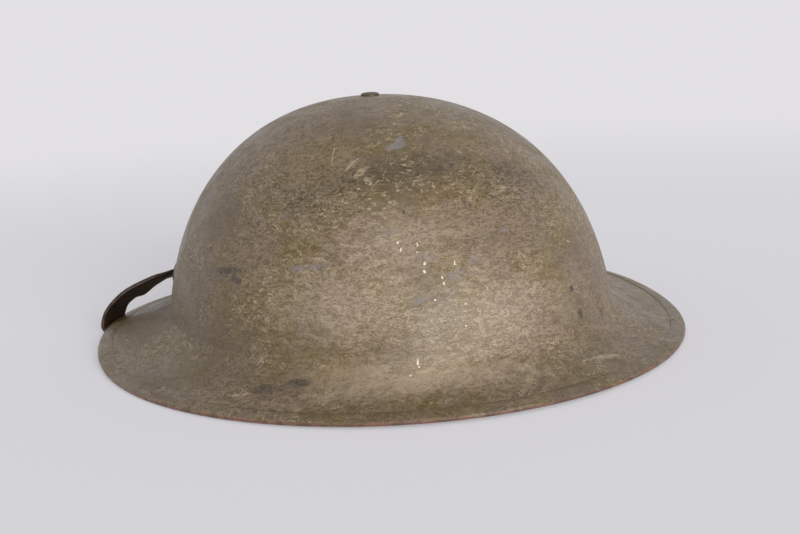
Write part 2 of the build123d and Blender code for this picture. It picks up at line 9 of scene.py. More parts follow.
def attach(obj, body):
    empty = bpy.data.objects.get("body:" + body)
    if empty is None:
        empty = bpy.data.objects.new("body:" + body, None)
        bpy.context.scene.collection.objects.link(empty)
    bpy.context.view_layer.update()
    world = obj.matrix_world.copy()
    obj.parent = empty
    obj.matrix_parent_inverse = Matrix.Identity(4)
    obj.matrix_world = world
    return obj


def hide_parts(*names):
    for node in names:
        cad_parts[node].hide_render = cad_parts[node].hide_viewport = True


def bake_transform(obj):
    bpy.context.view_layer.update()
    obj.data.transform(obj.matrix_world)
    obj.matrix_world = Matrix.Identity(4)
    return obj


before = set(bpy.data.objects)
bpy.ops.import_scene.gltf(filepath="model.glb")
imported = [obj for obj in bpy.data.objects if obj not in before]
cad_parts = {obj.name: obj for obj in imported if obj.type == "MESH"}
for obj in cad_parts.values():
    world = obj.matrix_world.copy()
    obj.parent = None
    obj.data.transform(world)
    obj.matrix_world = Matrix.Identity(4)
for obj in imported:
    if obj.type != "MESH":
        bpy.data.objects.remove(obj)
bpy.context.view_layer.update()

# A pressed steel helmet with its liner and its stowed leather strap.
# Shapes are worked out in millimetres and degrees, as in the part's source, and become metres in
# a mesh. An azimuth turns from +X to +Y. A rise is a height above the brim's edge.
mm = 0.001

# The pressed sheet and the band folded over its edge.
sheet = {
    "brimHalfLength": 154.5, "brimHalfWidth": 146.0, "bowlHalfLength": 124.8, "bowlHalfWidth": 109.5,
    "crownRise": 116.0, "crownOffset": -3.3, "footRise": 16.0, "wallLean": 8.0,
    "crownFlatShare": 0.48, "wallPullShare": 0.71, "neckPull": 5.0, "brimPull": 14.0,
    "brimSlope": 16.0, "thickness": 0.95, "edgeSaddle": 0.6, "strapBend": 3.3,
    "strapBendSpread": 26.0, "bendAzimuths": (160.0, 20.0), "holeRadius": 2.05,
    "dent": 0.22,        # how far the hand-finished bowl strays from the true form
}
band = {"thickness": 0.6, "flange": 6.5, "gap": 0.05, "buttGap": 0.3, "thinRun": 2.0, "thinShare": 0.75,
        "ripple": 0.03}


def moved(reach, rise, angle, distance):
    # Goes a distance at an angle above outward: its cosine adds to the reach, its sine to the rise.
    return reach + distance * np.cos(np.radians(angle)), rise + distance * np.sin(np.radians(angle))


def ellipseReach(azimuth, halfWidth, halfLength, offset=0.0):
    # Distance along each azimuth to an ellipse, from a point on X at the offset from its centre:
    # the positive root of square * d^2 + 2 * linear * d + rest = 0.
    c, s = np.cos(np.radians(azimuth)), np.sin(np.radians(azimuth))
    square = c ** 2 / halfWidth ** 2 + s ** 2 / halfLength ** 2
    linear = offset * c / halfWidth ** 2
    rest = (offset / halfWidth) ** 2 - 1
    return (np.sqrt(linear ** 2 - square * rest) - linear) / square


def edgeRise(azimuth):
    # A saddle, and one bump of a bell curve where the strap has bent the edge on each side.
    azimuth = np.asarray(azimuth, float)
    bend = sum(np.exp(-((azimuth - middle) / sheet["strapBendSpread"]) ** 2)
               for middle in sheet["bendAzimuths"])
    return sheet["strapBend"] * bend - sheet["edgeSaddle"] * np.cos(np.radians(2 * azimuth))


bandNose = sheet["thickness"] / 2 + band["gap"] + band["thickness"]
edgeLevel = bandNose - edgeRise(np.arange(-90, 270)).min()


def edgeMiddle(azimuth):
    # The middle of the sheet's edge: the brim's ellipse less the nose of the folded band.
    reach = ellipseReach(azimuth, sheet["brimHalfWidth"], sheet["brimHalfLength"], sheet["crownOffset"])
    return reach - bandNose, edgeRise(azimuth)


def bezier(control, share):
    # A cubic curve: four weights of the share times four control points.
    share = np.asarray(share, float)
    rest = 1 - share
    weights = (rest ** 3, 3 * share * rest ** 2, 3 * share ** 2 * rest, share ** 3)
    return tuple(sum(w * np.asarray(p[i], float)[..., None] for w, p in zip(weights, control))
                 for i in (0, 1))


def domeControl(azimuth, depth):
    # The bowl's four control points at a depth into the sheet: the rivet's hole, a pull outward
    # along the flat crown, a pull up the leaning wall, and the foot.
    foot = ellipseReach(azimuth, sheet["bowlHalfWidth"], sheet["bowlHalfLength"], sheet["crownOffset"])
    flat = 0 * foot
    drop = sheet["crownRise"] - sheet["footRise"]
    end = moved(foot, flat + sheet["footRise"], sheet["wallLean"], -depth)
    wall = moved(*end, 90 + sheet["wallLean"], sheet["wallPullShare"] * drop)
    top = (sheet["crownFlatShare"] * foot, flat + sheet["crownRise"] - depth)
    return [(flat + sheet["holeRadius"], flat + sheet["crownRise"] - depth), top, wall, end]


def neckControl(azimuth, depth):
    # The brim's four: the bowl's foot, a pull down the wall, a pull in up the brim's slope, and
    # the sheet at the inner end of the band.
    start = domeControl(azimuth, depth)[-1]
    middle = moved(*edgeMiddle(azimuth), 180 - sheet["brimSlope"], band["flange"])
    end = moved(*middle, 90 - sheet["brimSlope"], sheet["thickness"] / 2 - depth)
    return [start, moved(*start, sheet["wallLean"] - 90, sheet["neckPull"]),
            moved(*end, 180 - sheet["brimSlope"], sheet["brimPull"]), end]


def onCrownAxis(azimuth, reach, rise):
    # Turns a reach and a rise at each azimuth into points of the part's frame.
    turn = np.radians(azimuth)
    return np.stack([sheet["crownOffset"] + reach * np.cos(turn), reach * np.sin(turn),
                     edgeLevel + rise], -1)


def unit(rows):
    # Each direction divided by its length.
    return rows / np.linalg.norm(rows, axis=-1, keepdims=True)


def surface(name, points, wrapRows=True, wrapColumns=True, uv=None, caps=False, sharp=35.0, marks=None):
    # One mesh from a grid of points, or from many grids stacked in the first axis. Neighbouring
    # points make a four-sided face, rows and columns close on themselves where asked, and rings
    # of no size become single poles.
    points = np.asarray(points, float)
    points = points.reshape(-1, *points.shape[-3:])
    count, rows, columns = points.shape[:3]
    index = np.arange(rows * columns).reshape(rows, columns)
    grid = np.vstack([index, index[:1]]) if wrapRows else index
    grid = np.hstack([grid, grid[:, :1]]) if wrapColumns else grid
    corners = np.stack([grid[:-1, :-1], grid[1:, :-1], grid[1:, 1:], grid[:-1, 1:]], -1).reshape(-1, 4)
    faces = (corners[None] + (np.arange(count) * rows * columns)[:, None, None]).reshape(-1, 4).tolist()
    if caps:
        for start in range(0, count * rows * columns, rows * columns):
            faces += [(index[0, ::-1] + start).tolist(), (index[-1] + start).tolist()]
    mesh = bpy.data.meshes.new(name)
    mesh.from_pydata(points.reshape(-1, 3) * mm, [], faces)
    if marks is not None:
        mark = mesh.attributes.new("wear", "FLOAT", "POINT")
        everywhere = np.broadcast_to(marks, points.shape[:3])
        mark.data.foreach_set("value", everywhere.ravel().astype(np.float32))
    if uv is not None:
        spot = np.arange(grid.size).reshape(grid.shape)
        loops = np.stack([spot[:-1, :-1], spot[1:, :-1], spot[1:, 1:], spot[:-1, 1:]], -1).ravel()
        flat = np.zeros((len(mesh.loops), 2))
        perGrid = np.stack(np.broadcast_arrays(*uv), -1).reshape(-1, grid.size, 2)
        perGrid = np.broadcast_to(perGrid, (count, grid.size, 2))
        flat[:count * len(loops)] = perGrid[:, loops].reshape(-1, 2)
        mesh.uv_layers.new(name="along").data.foreach_set("uv", flat.ravel())
    work = bmesh.new()
    work.from_mesh(mesh)
    bmesh.ops.remove_doubles(work, verts=work.verts, dist=1e-7)
    bmesh.ops.recalc_face_normals(work, faces=work.faces)
    work.to_mesh(mesh)
    work.free()
    mesh.shade_smooth()
    mesh.set_sharp_from_angle(angle=radians(sharp))
    piece = bpy.data.objects.new(name, mesh)
    bpy.context.scene.collection.objects.link(piece)
    return piece


def place(piece, material, body="helmet", nodes=()):
    # Gives a finished piece its material, its body and the solids that it stands for.
    piece.data.materials.clear()
    piece.data.materials.append(material)
    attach(piece, body)
    if nodes:
        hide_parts(*nodes)
    return piece


def arc(middle, radius, start, end, steps):
    # Points of a circle: the radius times cosine and sine, from the start angle to the end angle.
    turn = np.radians(np.linspace(start, end, steps))
    return np.stack([middle[0] + radius * np.cos(turn), middle[1] + radius * np.sin(turn)], -1)


def roundedSection(width, thickness, corner, steps=3):
    # A closed outline across (first) and through (second) a strip: four quarter circles.
    half, deep = width / 2 - corner, thickness / 2 - corner
    quarters = [((half, deep), 0), ((-half, deep), 90), ((-half, -deep), 180), ((half, -deep), 270)]
    return np.concatenate([arc(middle, corner, start, start + 90, steps) for middle, start in quarters])


def carried(path, side, up, section, size=1.0):
    # A section carried along a path: each path point plus the section's two parts along side and up.
    size = np.broadcast_to(np.asarray(size, float), path.shape[:-1])[..., None, None]
    return (path[..., None, :] + size * section[:, 0, None] * side[..., None, :]
            + size * section[:, 1, None] * up[..., None, :])


def tube(path, guide, radius, sides=8, size=1.0, closed=False):
    # A round section carried along a path, its frame made from the path's direction and a guide.
    ahead = np.roll(path, -1, -2) - np.roll(path, 1, -2) if closed else np.gradient(path, axis=-2)
    side = unit(np.cross(ahead, guide))
    up = unit(np.cross(side, ahead))
    turn = np.linspace(0, 2 * pi, sides, endpoint=False)
    return carried(path, side, up, radius * np.stack([np.cos(turn), np.sin(turn)], -1), size)


def lengthAlong(path, closed=False):
    # The distance gone at each point of a path: the running sum of the steps between points.
    last = path[..., :1, :] if closed else path[..., -1:, :]
    step = np.linalg.norm(np.diff(path, axis=-2, append=last), axis=-1)
    whole = np.concatenate([np.zeros(path.shape[:-2] + (1,)), np.cumsum(step, -1)], -1)
    return whole if closed else whole[..., :-1]


def alongUv(path, section, closed=False):
    # The piece's own UV map in metres: the way along the path by the way across the section.
    across = np.append(section[:, 0], section[0, 0])
    return lengthAlong(path, closed)[..., None] * mm, across[None] * mm


def roundUv(length, sides):
    # The same for a round section, whose way across goes once from 0 to 1.
    return length[..., None] * mm, np.linspace(0, 1, sides + 1)[None]


def turned(profile, origin, axis, steps=48):
    # A profile of radius and height turned round an axis: the radius times cosine and sine of the
    # turn along two directions square to the axis, and the height along it.
    axis = np.asarray(axis, float)
    across = unit(np.cross(axis, (1.0, 0.0, 0.0) if abs(axis[0]) < 0.9 else (0.0, 1.0, 0.0)))
    other = np.cross(axis, across)
    turn = np.linspace(0, 2 * pi, steps, endpoint=False)[:, None, None]
    profile = np.asarray(profile, float)
    outward = np.cos(turn) * across + np.sin(turn) * other
    return np.asarray(origin, float) + profile[None, :, :1] * outward + profile[None, :, 1:] * axis


def linear(hexColour):
    # An sRGB hex colour as linear red, green, blue and alpha.
    values = np.array([int(hexColour[i:i + 2], 16) / 255 for i in (0, 2, 4)])
    curved = ((values + 0.055) / 1.055) ** 2.4
    return (*np.where(values <= 0.04045, values / 12.92, curved).tolist(), 1.0)


def node(tree, kind, links=None, **settings):
    # Adds a node: settings are its own fields, links its sockets' values or the outputs they take.
    made = tree.nodes.new(kind)
    for field, value in settings.items():
        setattr(made, field, value)
    for socket, value in (links or {}).items():
        if isinstance(value, bpy.types.NodeSocket):
            tree.links.new(value, made.inputs[socket])
        else:
            made.inputs[socket].default_value = value
    return made


def blank(name):
    # A new material with an empty tree.
    material = bpy.data.materials.new(name)
    material.use_nodes = True
    material.node_tree.nodes.clear()
    return material, material.node_tree


def noise(tree, coords, size, detail=3.0, rough=0.55, distort=0.0):
    # Noise whose largest cells are about the size given in millimetres.
    links = {"Vector": coords, "Scale": 1 / (size * mm), "Detail": detail, "Roughness": rough,
             "Distortion": distort}
    return node(tree, "ShaderNodeTexNoise", links).outputs["Fac"]


def ramp(tree, value, low, high, toLow=0.0, toHigh=1.0):
    # Goes smoothly from toLow at the low value to toHigh at the high one.
    links = {"Value": value, "From Min": low, "From Max": high, "To Min": toLow, "To Max": toHigh}
    return node(tree, "ShaderNodeMapRange", links, interpolation_type="SMOOTHSTEP").outputs[0]


def calc(tree, operation, first, second=0.0, third=0.0):
    # One sum of up to three values.
    return node(tree, "ShaderNodeMath", {0: first, 1: second, 2: third}, operation=operation).outputs[0]


def mixed(tree, share, below, above):
    # One colour laid over another by a share.
    return node(tree, "ShaderNodeMix", {0: share, 6: below, 7: above}, data_type="RGBA").outputs[2]


def scaled(tree, coords, factors):
    return node(tree, "ShaderNodeVectorMath", {0: coords, 1: factors}, operation="MULTIPLY").outputs[0]


def hair(tree, coords, size, width, detail=2.0, distort=0.6):
    # Thin wandering lines: where a noise crosses its middle value.
    value = noise(tree, coords, size, detail, 0.6, distort)
    off = calc(tree, "ABSOLUTE", calc(tree, "SUBTRACT", value, 0.5))
    return ramp(tree, off, width, width * 0.25)


def finish(tree, shader, bumps=()):
    # Chains the bumps, each a height and its depth in millimetres, and puts the shader out.
    last = None
    for height, depth in bumps:
        links = {"Height": height, "Distance": depth * mm, "Strength": 1.0}
        if last is not None:
            links["Normal"] = last
        last = node(tree, "ShaderNodeBump", links).outputs[0]
    if last is not None:
        tree.links.new(last, shader.inputs["Normal"])
    out = node(tree, "ShaderNodeOutputMaterial")
    tree.links.new(shader.outputs[0], out.inputs[0])


def objectCoords(tree):
    return node(tree, "ShaderNodeTexCoord").outputs["Object"]


def alongCoords(tree):
    return node(tree, "ShaderNodeUVMap", uv_map="along").outputs[0]


# Marks on the paint: azimuth, share of the bowl (0 to 1) and brim (1 to 2), half length and half
# width in millimetres, and the turn of the long side above level, in degrees.
paintMarks = {
    "bareGrey": [(-95.9, 0.430, 5.2, 2.6, 22), (-94.0, 0.405, 3.0, 1.7, 62), (118.0, 0.55, 4.5, 2.4, 40)],
    "rubbedGrey": [(-121.5, 0.803, 9.5, 2.2, 8), (-117.0, 0.795, 6.0, 1.4, 20), (-47.2, 0.99, 6.4, 2.4, 82),
                   (-136.5, 0.68, 4.0, 2.0, -30), (-129.0, 0.67, 3.0, 1.6, 0), (-91.0, 0.875, 5.0, 1.8, 15),
                   (-96.5, 0.88, 6.0, 2.0, 5), (-101.5, 0.715, 3.6, 2.0, 10), (-74.0, 0.74, 3.4, 1.8, 0),
                   (-84.0, 0.80, 5.0, 2.0, 25), (-88.0, 0.83, 7.0, 3.0, 10), (-94.0, 0.78, 5.0, 2.4, -8),
                   (40.0, 0.72, 6.0, 1.6, 12), (75.0, 0.83, 5.0, 1.4, -8)],
    "darkRust": [(-144.0, 0.828, 12.0, 2.2, 4), (-141.0, 0.845, 5.0, 2.8, -20), (-58.0, 0.975, 2.8, 2.4, 40),
                 (-59.5, 0.915, 2.2, 2.0, 0), (-47.6, 1.02, 3.4, 1.4, 82), (-126.5, 1.66, 9.0, 4.0, 8),
                 (-121.0, 1.50, 7.0, 3.0, 5),
                 (-73.0, 0.65, 4.6, 0.5, -38), (-97.5, 0.66, 0.7, 0.7, 0), (-159.5, 0.303, 5.0, 0.45, -6),
                 (-88.5, 0.57, 0.7, 0.6, 0), (150.0, 0.62, 7.0, 1.8, 20), (20.0, 0.86, 6.0, 2.0, -12)],
    "straw": [(-96.4, 1.265, 4.5, 1.2, 12), (-92.4, 1.32, 5.0, 0.9, 10), (-111.0, 0.50, 5.5, 0.9, 55),
              (-118.0, 0.47, 6.0, 0.45, 100), (-108.0, 0.53, 4.0, 1.8, 50), (-106.0, 0.56, 3.0, 1.4, -60),
              (-131.0, 1.80, 5.0, 1.2, 15), (-60.0, 1.75, 8.0, 1.5, -16)],
    # Broad pale patches on the bowl and brim: partly rubbed paint, partly a painted highlight.
    "rubbedHighlightMarks": [(-82.0, 0.93, 74.0, 34.0, 4), (-100.0, 0.74, 46.0, 26.0, 12), (-110.0, 0.88, 58.0, 30.0, 0),
                 (-97.0, 1.42, 90.0, 14.0, 0), (60.0, 0.85, 70.0, 30.0, 0), (110.0, 0.75, 50.0, 28.0, 10)],
    # A darker band of painted shade across the upper bowl.
    "shadedOliveBand": [(-97.0, 0.53, 84.0, 17.0, 4), (-66.0, 0.60, 44.0, 20.0, 0), (-126.0, 0.62, 36.0, 13.0, -8),
                  (70.0, 0.55, 80.0, 20.0, 6), (150.0, 0.60, 50.0, 16.0, -6)],
    "dusty": [(-97.0, 1.42, 60.0, 15.0, 2), (-112.0, 1.30, 40.0, 10.0, 4), (100.0, 1.40, 70.0, 14.0, 0)],
    "cream": [(-99.8, 0.742, 1.0, 0.55, 100), (-99.3, 0.76, 1.5, 0.55, 75), (-95.6, 0.75, 1.5, 0.45, 95),
              (-95.9, 0.768, 0.6, 0.5, 0), (-94.6, 0.797, 1.3, 0.9, 70), (-94.9, 0.815, 1.1, 0.75, 100),
              (-88.3, 0.802, 1.7, 0.5, 80), (-91.4, 0.832, 0.9, 0.55, 95), (-91.3, 0.846, 1.0, 0.65, 80),
              (-97.9, 1.03, 2.2, 0.7, 88), (-97.8, 1.16, 0.8, 0.7, 0), (-99.6, 1.34, 1.2, 0.6, 10),
              (-93.5, 0.88, 0.6, 0.5, 0), (-87.5, 0.895, 0.6, 0.5, 0), (-88.0, 0.94, 0.6, 0.5, 0),
              (-103.0, 0.70, 0.45, 0.4, 0), (-108.5, 0.585, 0.6, 0.45, 0), (-70.0, 0.145, 0.8, 0.5, 0)],
}
neckPart = 1.0         # from this share on a mark lies on the brim


def markFrame(azimuth, share, turn):
    # A mark's centre on the outer face, its long direction and its cross direction.
    def point(a, s):
        control = domeControl(np.array([a]), 0) if s < neckPart else neckControl(np.array([a]), 0)
        reach, rise = bezier(control, np.array([s % 1]))
        return onCrownAxis(np.array([a]), reach[0], rise[0])[0]
    azimuthStep, shareStep = 0.5, 0.01
    centre = point(azimuth, share)
    level = unit(point(azimuth + azimuthStep, share) - centre)
    climb = unit(point(azimuth, share - shareStep) - centre)
    a = radians(turn)
    return centre * mm, level * cos(a) + climb * sin(a), climb * cos(a) - level * sin(a)


def markShare(tree, coords, ragged, rows, soft=0.25):
    # How far each point lies inside any of the ragged ellipses: the ragged value less the point's
    # distance from the centre, each direction measured in half sizes.
    whole = None
    for azimuth, share, halfLength, halfWidth, turn in rows:
        centre, long, cross = markFrame(azimuth, share, turn)
        off = node(tree, "ShaderNodeVectorMath", {0: coords, 1: centre}, operation="SUBTRACT").outputs[0]
        parts = [node(tree, "ShaderNodeVectorMath", {0: off, 1: (way / (half * mm)).tolist()},
                      operation="DOT_PRODUCT").outputs["Value"]
                 for way, half in ((long, halfLength), (cross, halfWidth))]
        far = node(tree, "ShaderNodeCombineXYZ", {0: parts[0], 1: parts[1]}).outputs[0]
        near = node(tree, "ShaderNodeVectorMath", {0: far}, operation="LENGTH").outputs["Value"]
        inside = calc(tree, "SUBTRACT", ragged, near)
        whole = inside if whole is None else calc(tree, "MAXIMUM", whole, inside)
    return ramp(tree, whole, 0.0, soft)


paint = {
    "olive": "69593f", "drab": "6c5b48", "moss": "67561f", "haze": "766a5e", "straw": "a5937a",
    "pale": "c2b498", "pit": "3a3028", "bare": "84828a", "rust": "3f3734", "cream": "e6dfc9",
    # The silver tone is pale rubbed paint that also paints a highlight; the deep tone paints shade.
    "rubbedHighlight": "bdad9a", "deep": "41351a", "dust": "a39379", "edgeRust": "7c5546", "oldRust": "5d463b",
    "roughness": 0.41, "levelStretch": (1.0, 1.0, 2.2),   # scuffs run mostly level
    # Sizes of the patterns and depths of the relief, in millimetres.
    "patchSize": 70, "mossSize": 26, "hazeSize": 17, "cloudSize": 9, "grainSize": 1.5,
    "crackSizes": (6.0, 3.4), "longScuffSize": 10, "shortScuffSize": 4.6, "fleckSpacing": 7.5,
    "wrinkleDepth": 0.10, "stippleSize": 1.3, "stippleDepth": 0.15, "scuffDepth": 0.03,
    "creamDepth": 0.25, "chipDepth": -0.06,
}


def paintMaterial(name, worn=1.0, marked=False, edge=False, grime=0.0):
    # Brushed lead paint on pressed steel, a century old: it has wrinkled into fine cells, and
    # straw-coloured scuffs, dark pits and a few chips to grey steel break its satin drab.
    material, tree = blank(name)
    coords = objectCoords(tree)
    level = scaled(tree, coords, paint["levelStretch"])
    patches = ramp(tree, noise(tree, coords, paint["patchSize"], 4), 0.40, 0.60)
    colour = mixed(tree, patches, linear(paint["olive"]), linear(paint["drab"]))
    moss = ramp(tree, noise(tree, coords, paint["mossSize"], 4, 0.6), 0.44, 0.62, 0.0, 0.85)
    colour = mixed(tree, moss, colour, linear(paint["moss"]))
    flattened = scaled(tree, coords, (1.0, 1.2, 1.4))
    haze = ramp(tree, noise(tree, flattened, paint["hazeSize"], 5, 0.65), 0.52, 0.72, 0.0, 0.6)
    colour = mixed(tree, haze, colour, linear(paint["haze"]))
    if marked:
        # Broad soft areas lie under the scuffs: a darker band of painted shade across the upper bowl, and
        # pale dusty areas on the brim.
        cloudy = calc(tree, "MULTIPLY_ADD", noise(tree, level, paint["cloudSize"], 6, 0.8), 1.5, 0.2)
        for kind, tone, strength in (("shadedOliveBand", "deep", 0.9), ("dusty", "dust", 0.9)):
            inside = markShare(tree, coords, cloudy, paintMarks[kind], 1.0)
            colour = mixed(tree, calc(tree, "MULTIPLY", inside, strength), colour, linear(paint[tone]))
    grain = ramp(tree, noise(tree, level, paint["grainSize"], 5, 0.75), 0.36, 0.62, 0.42, 0.0)
    colour = mixed(tree, grain, colour, linear(paint["pit"]))
    # Wrinkles: wide and fine wandering lines, denser in some areas.
    dense = ramp(tree, noise(tree, coords, 38, 4, 0.6), 0.34, 0.60, 0.35, 1.0)
    wide, fine = (hair(tree, level, paint["crackSizes"][0], 0.05, 4.0, 0.9),
                  hair(tree, level, paint["crackSizes"][1], 0.06, 3.0, 1.2))
    wrinkle = calc(tree, "MAXIMUM", calc(tree, "MULTIPLY", wide, 0.8), calc(tree, "MULTIPLY", fine, 0.6))
    rubbed = calc(tree, "MULTIPLY", wrinkle, calc(tree, "MULTIPLY", dense, 0.72 * worn))
    colour = mixed(tree, rubbed, colour, linear(paint["straw"]))
    # Long and short pale scuffs, each broken up, and only in some areas.
    where = ramp(tree, noise(tree, coords, 24, 4, 0.6), 0.40, 0.62)
    longScuff = calc(tree, "MULTIPLY", hair(tree, level, paint["longScuffSize"], 0.014, 4.0),
                     ramp(tree, noise(tree, coords, 5, 3), 0.45, 0.56))
    shortScuff = calc(tree, "MULTIPLY", hair(tree, level, paint["shortScuffSize"], 0.026, 3.0, 1.0),
                      ramp(tree, noise(tree, level, 4.5, 2), 0.50, 0.60))
    scuff = calc(tree, "MULTIPLY", calc(tree, "MAXIMUM", longScuff, shortScuff),
                 calc(tree, "MULTIPLY", where, 0.8 * worn))
    colour = mixed(tree, scuff, colour, linear(paint["pale"]))
    # Small dark pits, one a cell of the spacing at most.
    cells = node(tree, "ShaderNodeTexVoronoi",
                 {"Vector": coords, "Scale": 1 / (paint["fleckSpacing"] * mm)}, feature="F1")
    fleck = calc(tree, "MULTIPLY", ramp(tree, cells.outputs["Distance"], 0.075, 0.045),
                 ramp(tree, noise(tree, coords, 22, 2), 0.5, 0.55))
    colour = mixed(tree, calc(tree, "MULTIPLY", fleck, 0.7 * worn), colour, linear(paint["pit"]))
    stipple = noise(tree, coords, paint["stippleSize"], 4, 0.65)
    bumps = [(calc(tree, "MULTIPLY", wrinkle, dense), paint["wrinkleDepth"] * worn),
             (stipple, paint["stippleDepth"]), (scuff, paint["scuffDepth"])]
    if marked:
        # Outlines: how far an ellipse reaches, in its own half sizes. Covers: where paint stays on.
        ragged = calc(tree, "MULTIPLY_ADD", noise(tree, coords, 2.6, 5, 0.8), 2.2, -0.05)
        blobby = calc(tree, "MULTIPLY_ADD", noise(tree, coords, 1.0, 3, 0.7), 1.5, 0.1)
        broken = ramp(tree, noise(tree, level, 2.0, 4, 0.75), 0.36, 0.54)
        streaked = calc(tree, "MULTIPLY_ADD", wrinkle, -0.7, 1.0)
        dabbed = ramp(tree, noise(tree, coords, 1.6, 4, 0.7), 0.38, 0.60)
        # Pale rubbed paint streaked along the wrinkles, laid broad and soft as a painted highlight.
        rubbedHighlight = markShare(tree, coords, cloudy, paintMarks["rubbedHighlightMarks"], 1.0)
        rubbedHighlightShare = calc(tree, "MULTIPLY", rubbedHighlight, calc(tree, "MULTIPLY_ADD", wrinkle, 0.42, 0.26))
        colour = mixed(tree, rubbedHighlightShare, colour, linear(paint["rubbedHighlight"]))
        for kind, tone, strength, outline, cover, soft in (
                ("straw", "pale", 0.6, ragged, broken, 0.25),
                ("rubbedGrey", "bare", 0.75, ragged, dabbed, 0.9),
                ("darkRust", "rust", 0.95, ragged, streaked, 0.5),
                ("bareGrey", "bare", 0.95, ragged, streaked, 0.2),
                ("cream", "cream", 1.0, blobby, None, 0.25)):
            inside = markShare(tree, coords, outline, paintMarks[kind], soft)
            share = calc(tree, "MULTIPLY", inside, strength)
            if cover is not None:
                share = calc(tree, "MULTIPLY", share, cover)
            colour = mixed(tree, share, colour, linear(paint[tone]))
            bumps.append((inside, paint["creamDepth"] if kind == "cream" else paint["chipDepth"]))
    if grime:
        colour = mixed(tree, grime, colour, linear(paint["pit"]))
    rough = ramp(tree, noise(tree, coords, 12, 3), 0.3, 0.7,
                 paint["roughness"] - 0.08, paint["roughness"] + 0.1)
    if edge:
        # Along the rim's nose the paint is gone and the steel has rusted.
        wornAway = node(tree, "ShaderNodeAttribute", attribute_name="wear").outputs["Fac"]
        uneven = calc(tree, "MULTIPLY", noise(tree, coords, 3, 4, 0.7), 0.7)
        bare = ramp(tree, calc(tree, "ADD", wornAway, uneven), 0.95, 1.15)
        rusty = mixed(tree, ramp(tree, noise(tree, coords, 6, 3), 0.42, 0.58), linear(paint["edgeRust"]),
                      linear(paint["oldRust"]))
        colour = mixed(tree, bare, colour, rusty)
        rough = calc(tree, "MULTIPLY_ADD", bare, -0.12, rough)
    shader = node(tree, "ShaderNodeBsdfPrincipled", {"Base Color": colour, "Roughness": rough, "IOR": 1.5})
    finish(tree, shader, bumps)
    return material


leather = {"patchSize": 14, "pebbleSize": 0.9, "pebbleDepth": -0.05, "crackSize": 1.3, "crackDepth": -0.06,
           "crackStretch": (1.0, 0.12, 1.0), "rubbedEdge": 1.0, "creaseDepth": -0.22}


def leatherMaterial(name, dark, light, edgeTone, roughness=0.46, crease=0.0, half=9.5):
    # Vegetable-tanned leather, oiled and handled: a close pebbled grain, darker in its creases
    # and rubbed paler along the cut edges.
    material, tree = blank(name)
    coords = objectCoords(tree)
    along = alongCoords(tree)
    patches = ramp(tree, noise(tree, coords, leather["patchSize"], 5, 0.6), 0.35, 0.68)
    colour = mixed(tree, patches, linear(dark), linear(light))
    cells = node(tree, "ShaderNodeTexVoronoi",
                 {"Vector": coords, "Scale": 1 / (leather["pebbleSize"] * mm)}, feature="SMOOTH_F1")
    grain = ramp(tree, cells.outputs["Distance"], 0.1, 0.75)
    colour = mixed(tree, calc(tree, "MULTIPLY", grain, 0.35), colour, linear(dark))
    across = calc(tree, "ABSOLUTE", node(tree, "ShaderNodeSeparateXYZ", {0: along}).outputs[1])
    rubbed = calc(tree, "MULTIPLY", ramp(tree, across, (half - leather["rubbedEdge"]) * mm, half * mm),
                  ramp(tree, noise(tree, coords, 5, 4, 0.7), 0.42, 0.62))
    colour = mixed(tree, rubbed, colour, linear(edgeTone))
    lines = node(tree, "ShaderNodeTexNoise", {"Vector": scaled(tree, along, leather["crackStretch"]),
                                              "Scale": 1 / (leather["crackSize"] * mm), "Detail": 3.0})
    cracks = ramp(tree, lines.outputs["Fac"], 0.60, 0.72)
    colour = mixed(tree, calc(tree, "MULTIPLY", cracks, 0.5), colour, linear(edgeTone))
    bumps = [(grain, leather["pebbleDepth"]), (cracks, leather["crackDepth"])]
    if crease:
        # A creased line runs along each side of the strap.
        off = calc(tree, "ABSOLUTE", calc(tree, "SUBTRACT", across, (half - crease) * mm))
        bumps.append((ramp(tree, off, 0.45 * mm, 0.1 * mm), leather["creaseDepth"]))
    rough = ramp(tree, noise(tree, coords, 8, 3), 0.3, 0.7, roughness - 0.07, roughness + 0.1)
    shader = node(tree, "ShaderNodeBsdfPrincipled", {"Base Color": colour, "Roughness": rough, "IOR": 1.5})
    finish(tree, shader, bumps)
    return material


def wovenMaterial(name, warpTone, weftTone, thread, roughness=0.85, soilAndGapShade="6a5c44", depth=0.12,
                  herringbone=0.0):
    # A plain or herringbone cotton weave: two sets of rounded threads, each on top in turn, so the
    # eye sees small rows of knuckles with painted shade in the gaps and soil in patches. Waxed cloth is
    # darker and smoother.
    material, tree = blank(name)
    parts = node(tree, "ShaderNodeSeparateXYZ", {0: alongCoords(tree)})
    u, v = parts.outputs[0], parts.outputs[1]
    if herringbone:
        fold = node(tree, "ShaderNodeMath", {0: v, 1: herringbone * mm}, operation="PINGPONG").outputs[0]
        u = calc(tree, "ADD", u, fold)
    turns = 2 * pi / (thread * mm)
    wave = calc(tree, "SINE", calc(tree, "MULTIPLY", u, turns))
    cross = calc(tree, "SINE", calc(tree, "MULTIPLY", v, turns))
    over = calc(tree, "MULTIPLY", wave, cross)
    top = ramp(tree, over, -0.4, 0.4)
    colour = mixed(tree, top, linear(weftTone), linear(warpTone))
    height = calc(tree, "ABSOLUTE", over)
    # Painted shade in the gaps where the threads dip, in the soil tone.
    colour = mixed(tree, ramp(tree, height, 0.45, 0.0, 0.0, 0.55), colour, linear(soilAndGapShade))
    dirt = ramp(tree, noise(tree, objectCoords(tree), 11, 5, 0.65), 0.45, 0.70, 0.0, 0.6)
    colour = mixed(tree, dirt, colour, linear(soilAndGapShade))
    shader = node(tree, "ShaderNodeBsdfPrincipled", {"Base Color": colour, "Roughness": roughness,
                                                    "IOR": 1.45, "Sheen Weight": 0.25,
                                                    "Sheen Roughness": 0.5})
    finish(tree, shader, [(height, depth)])
    return material


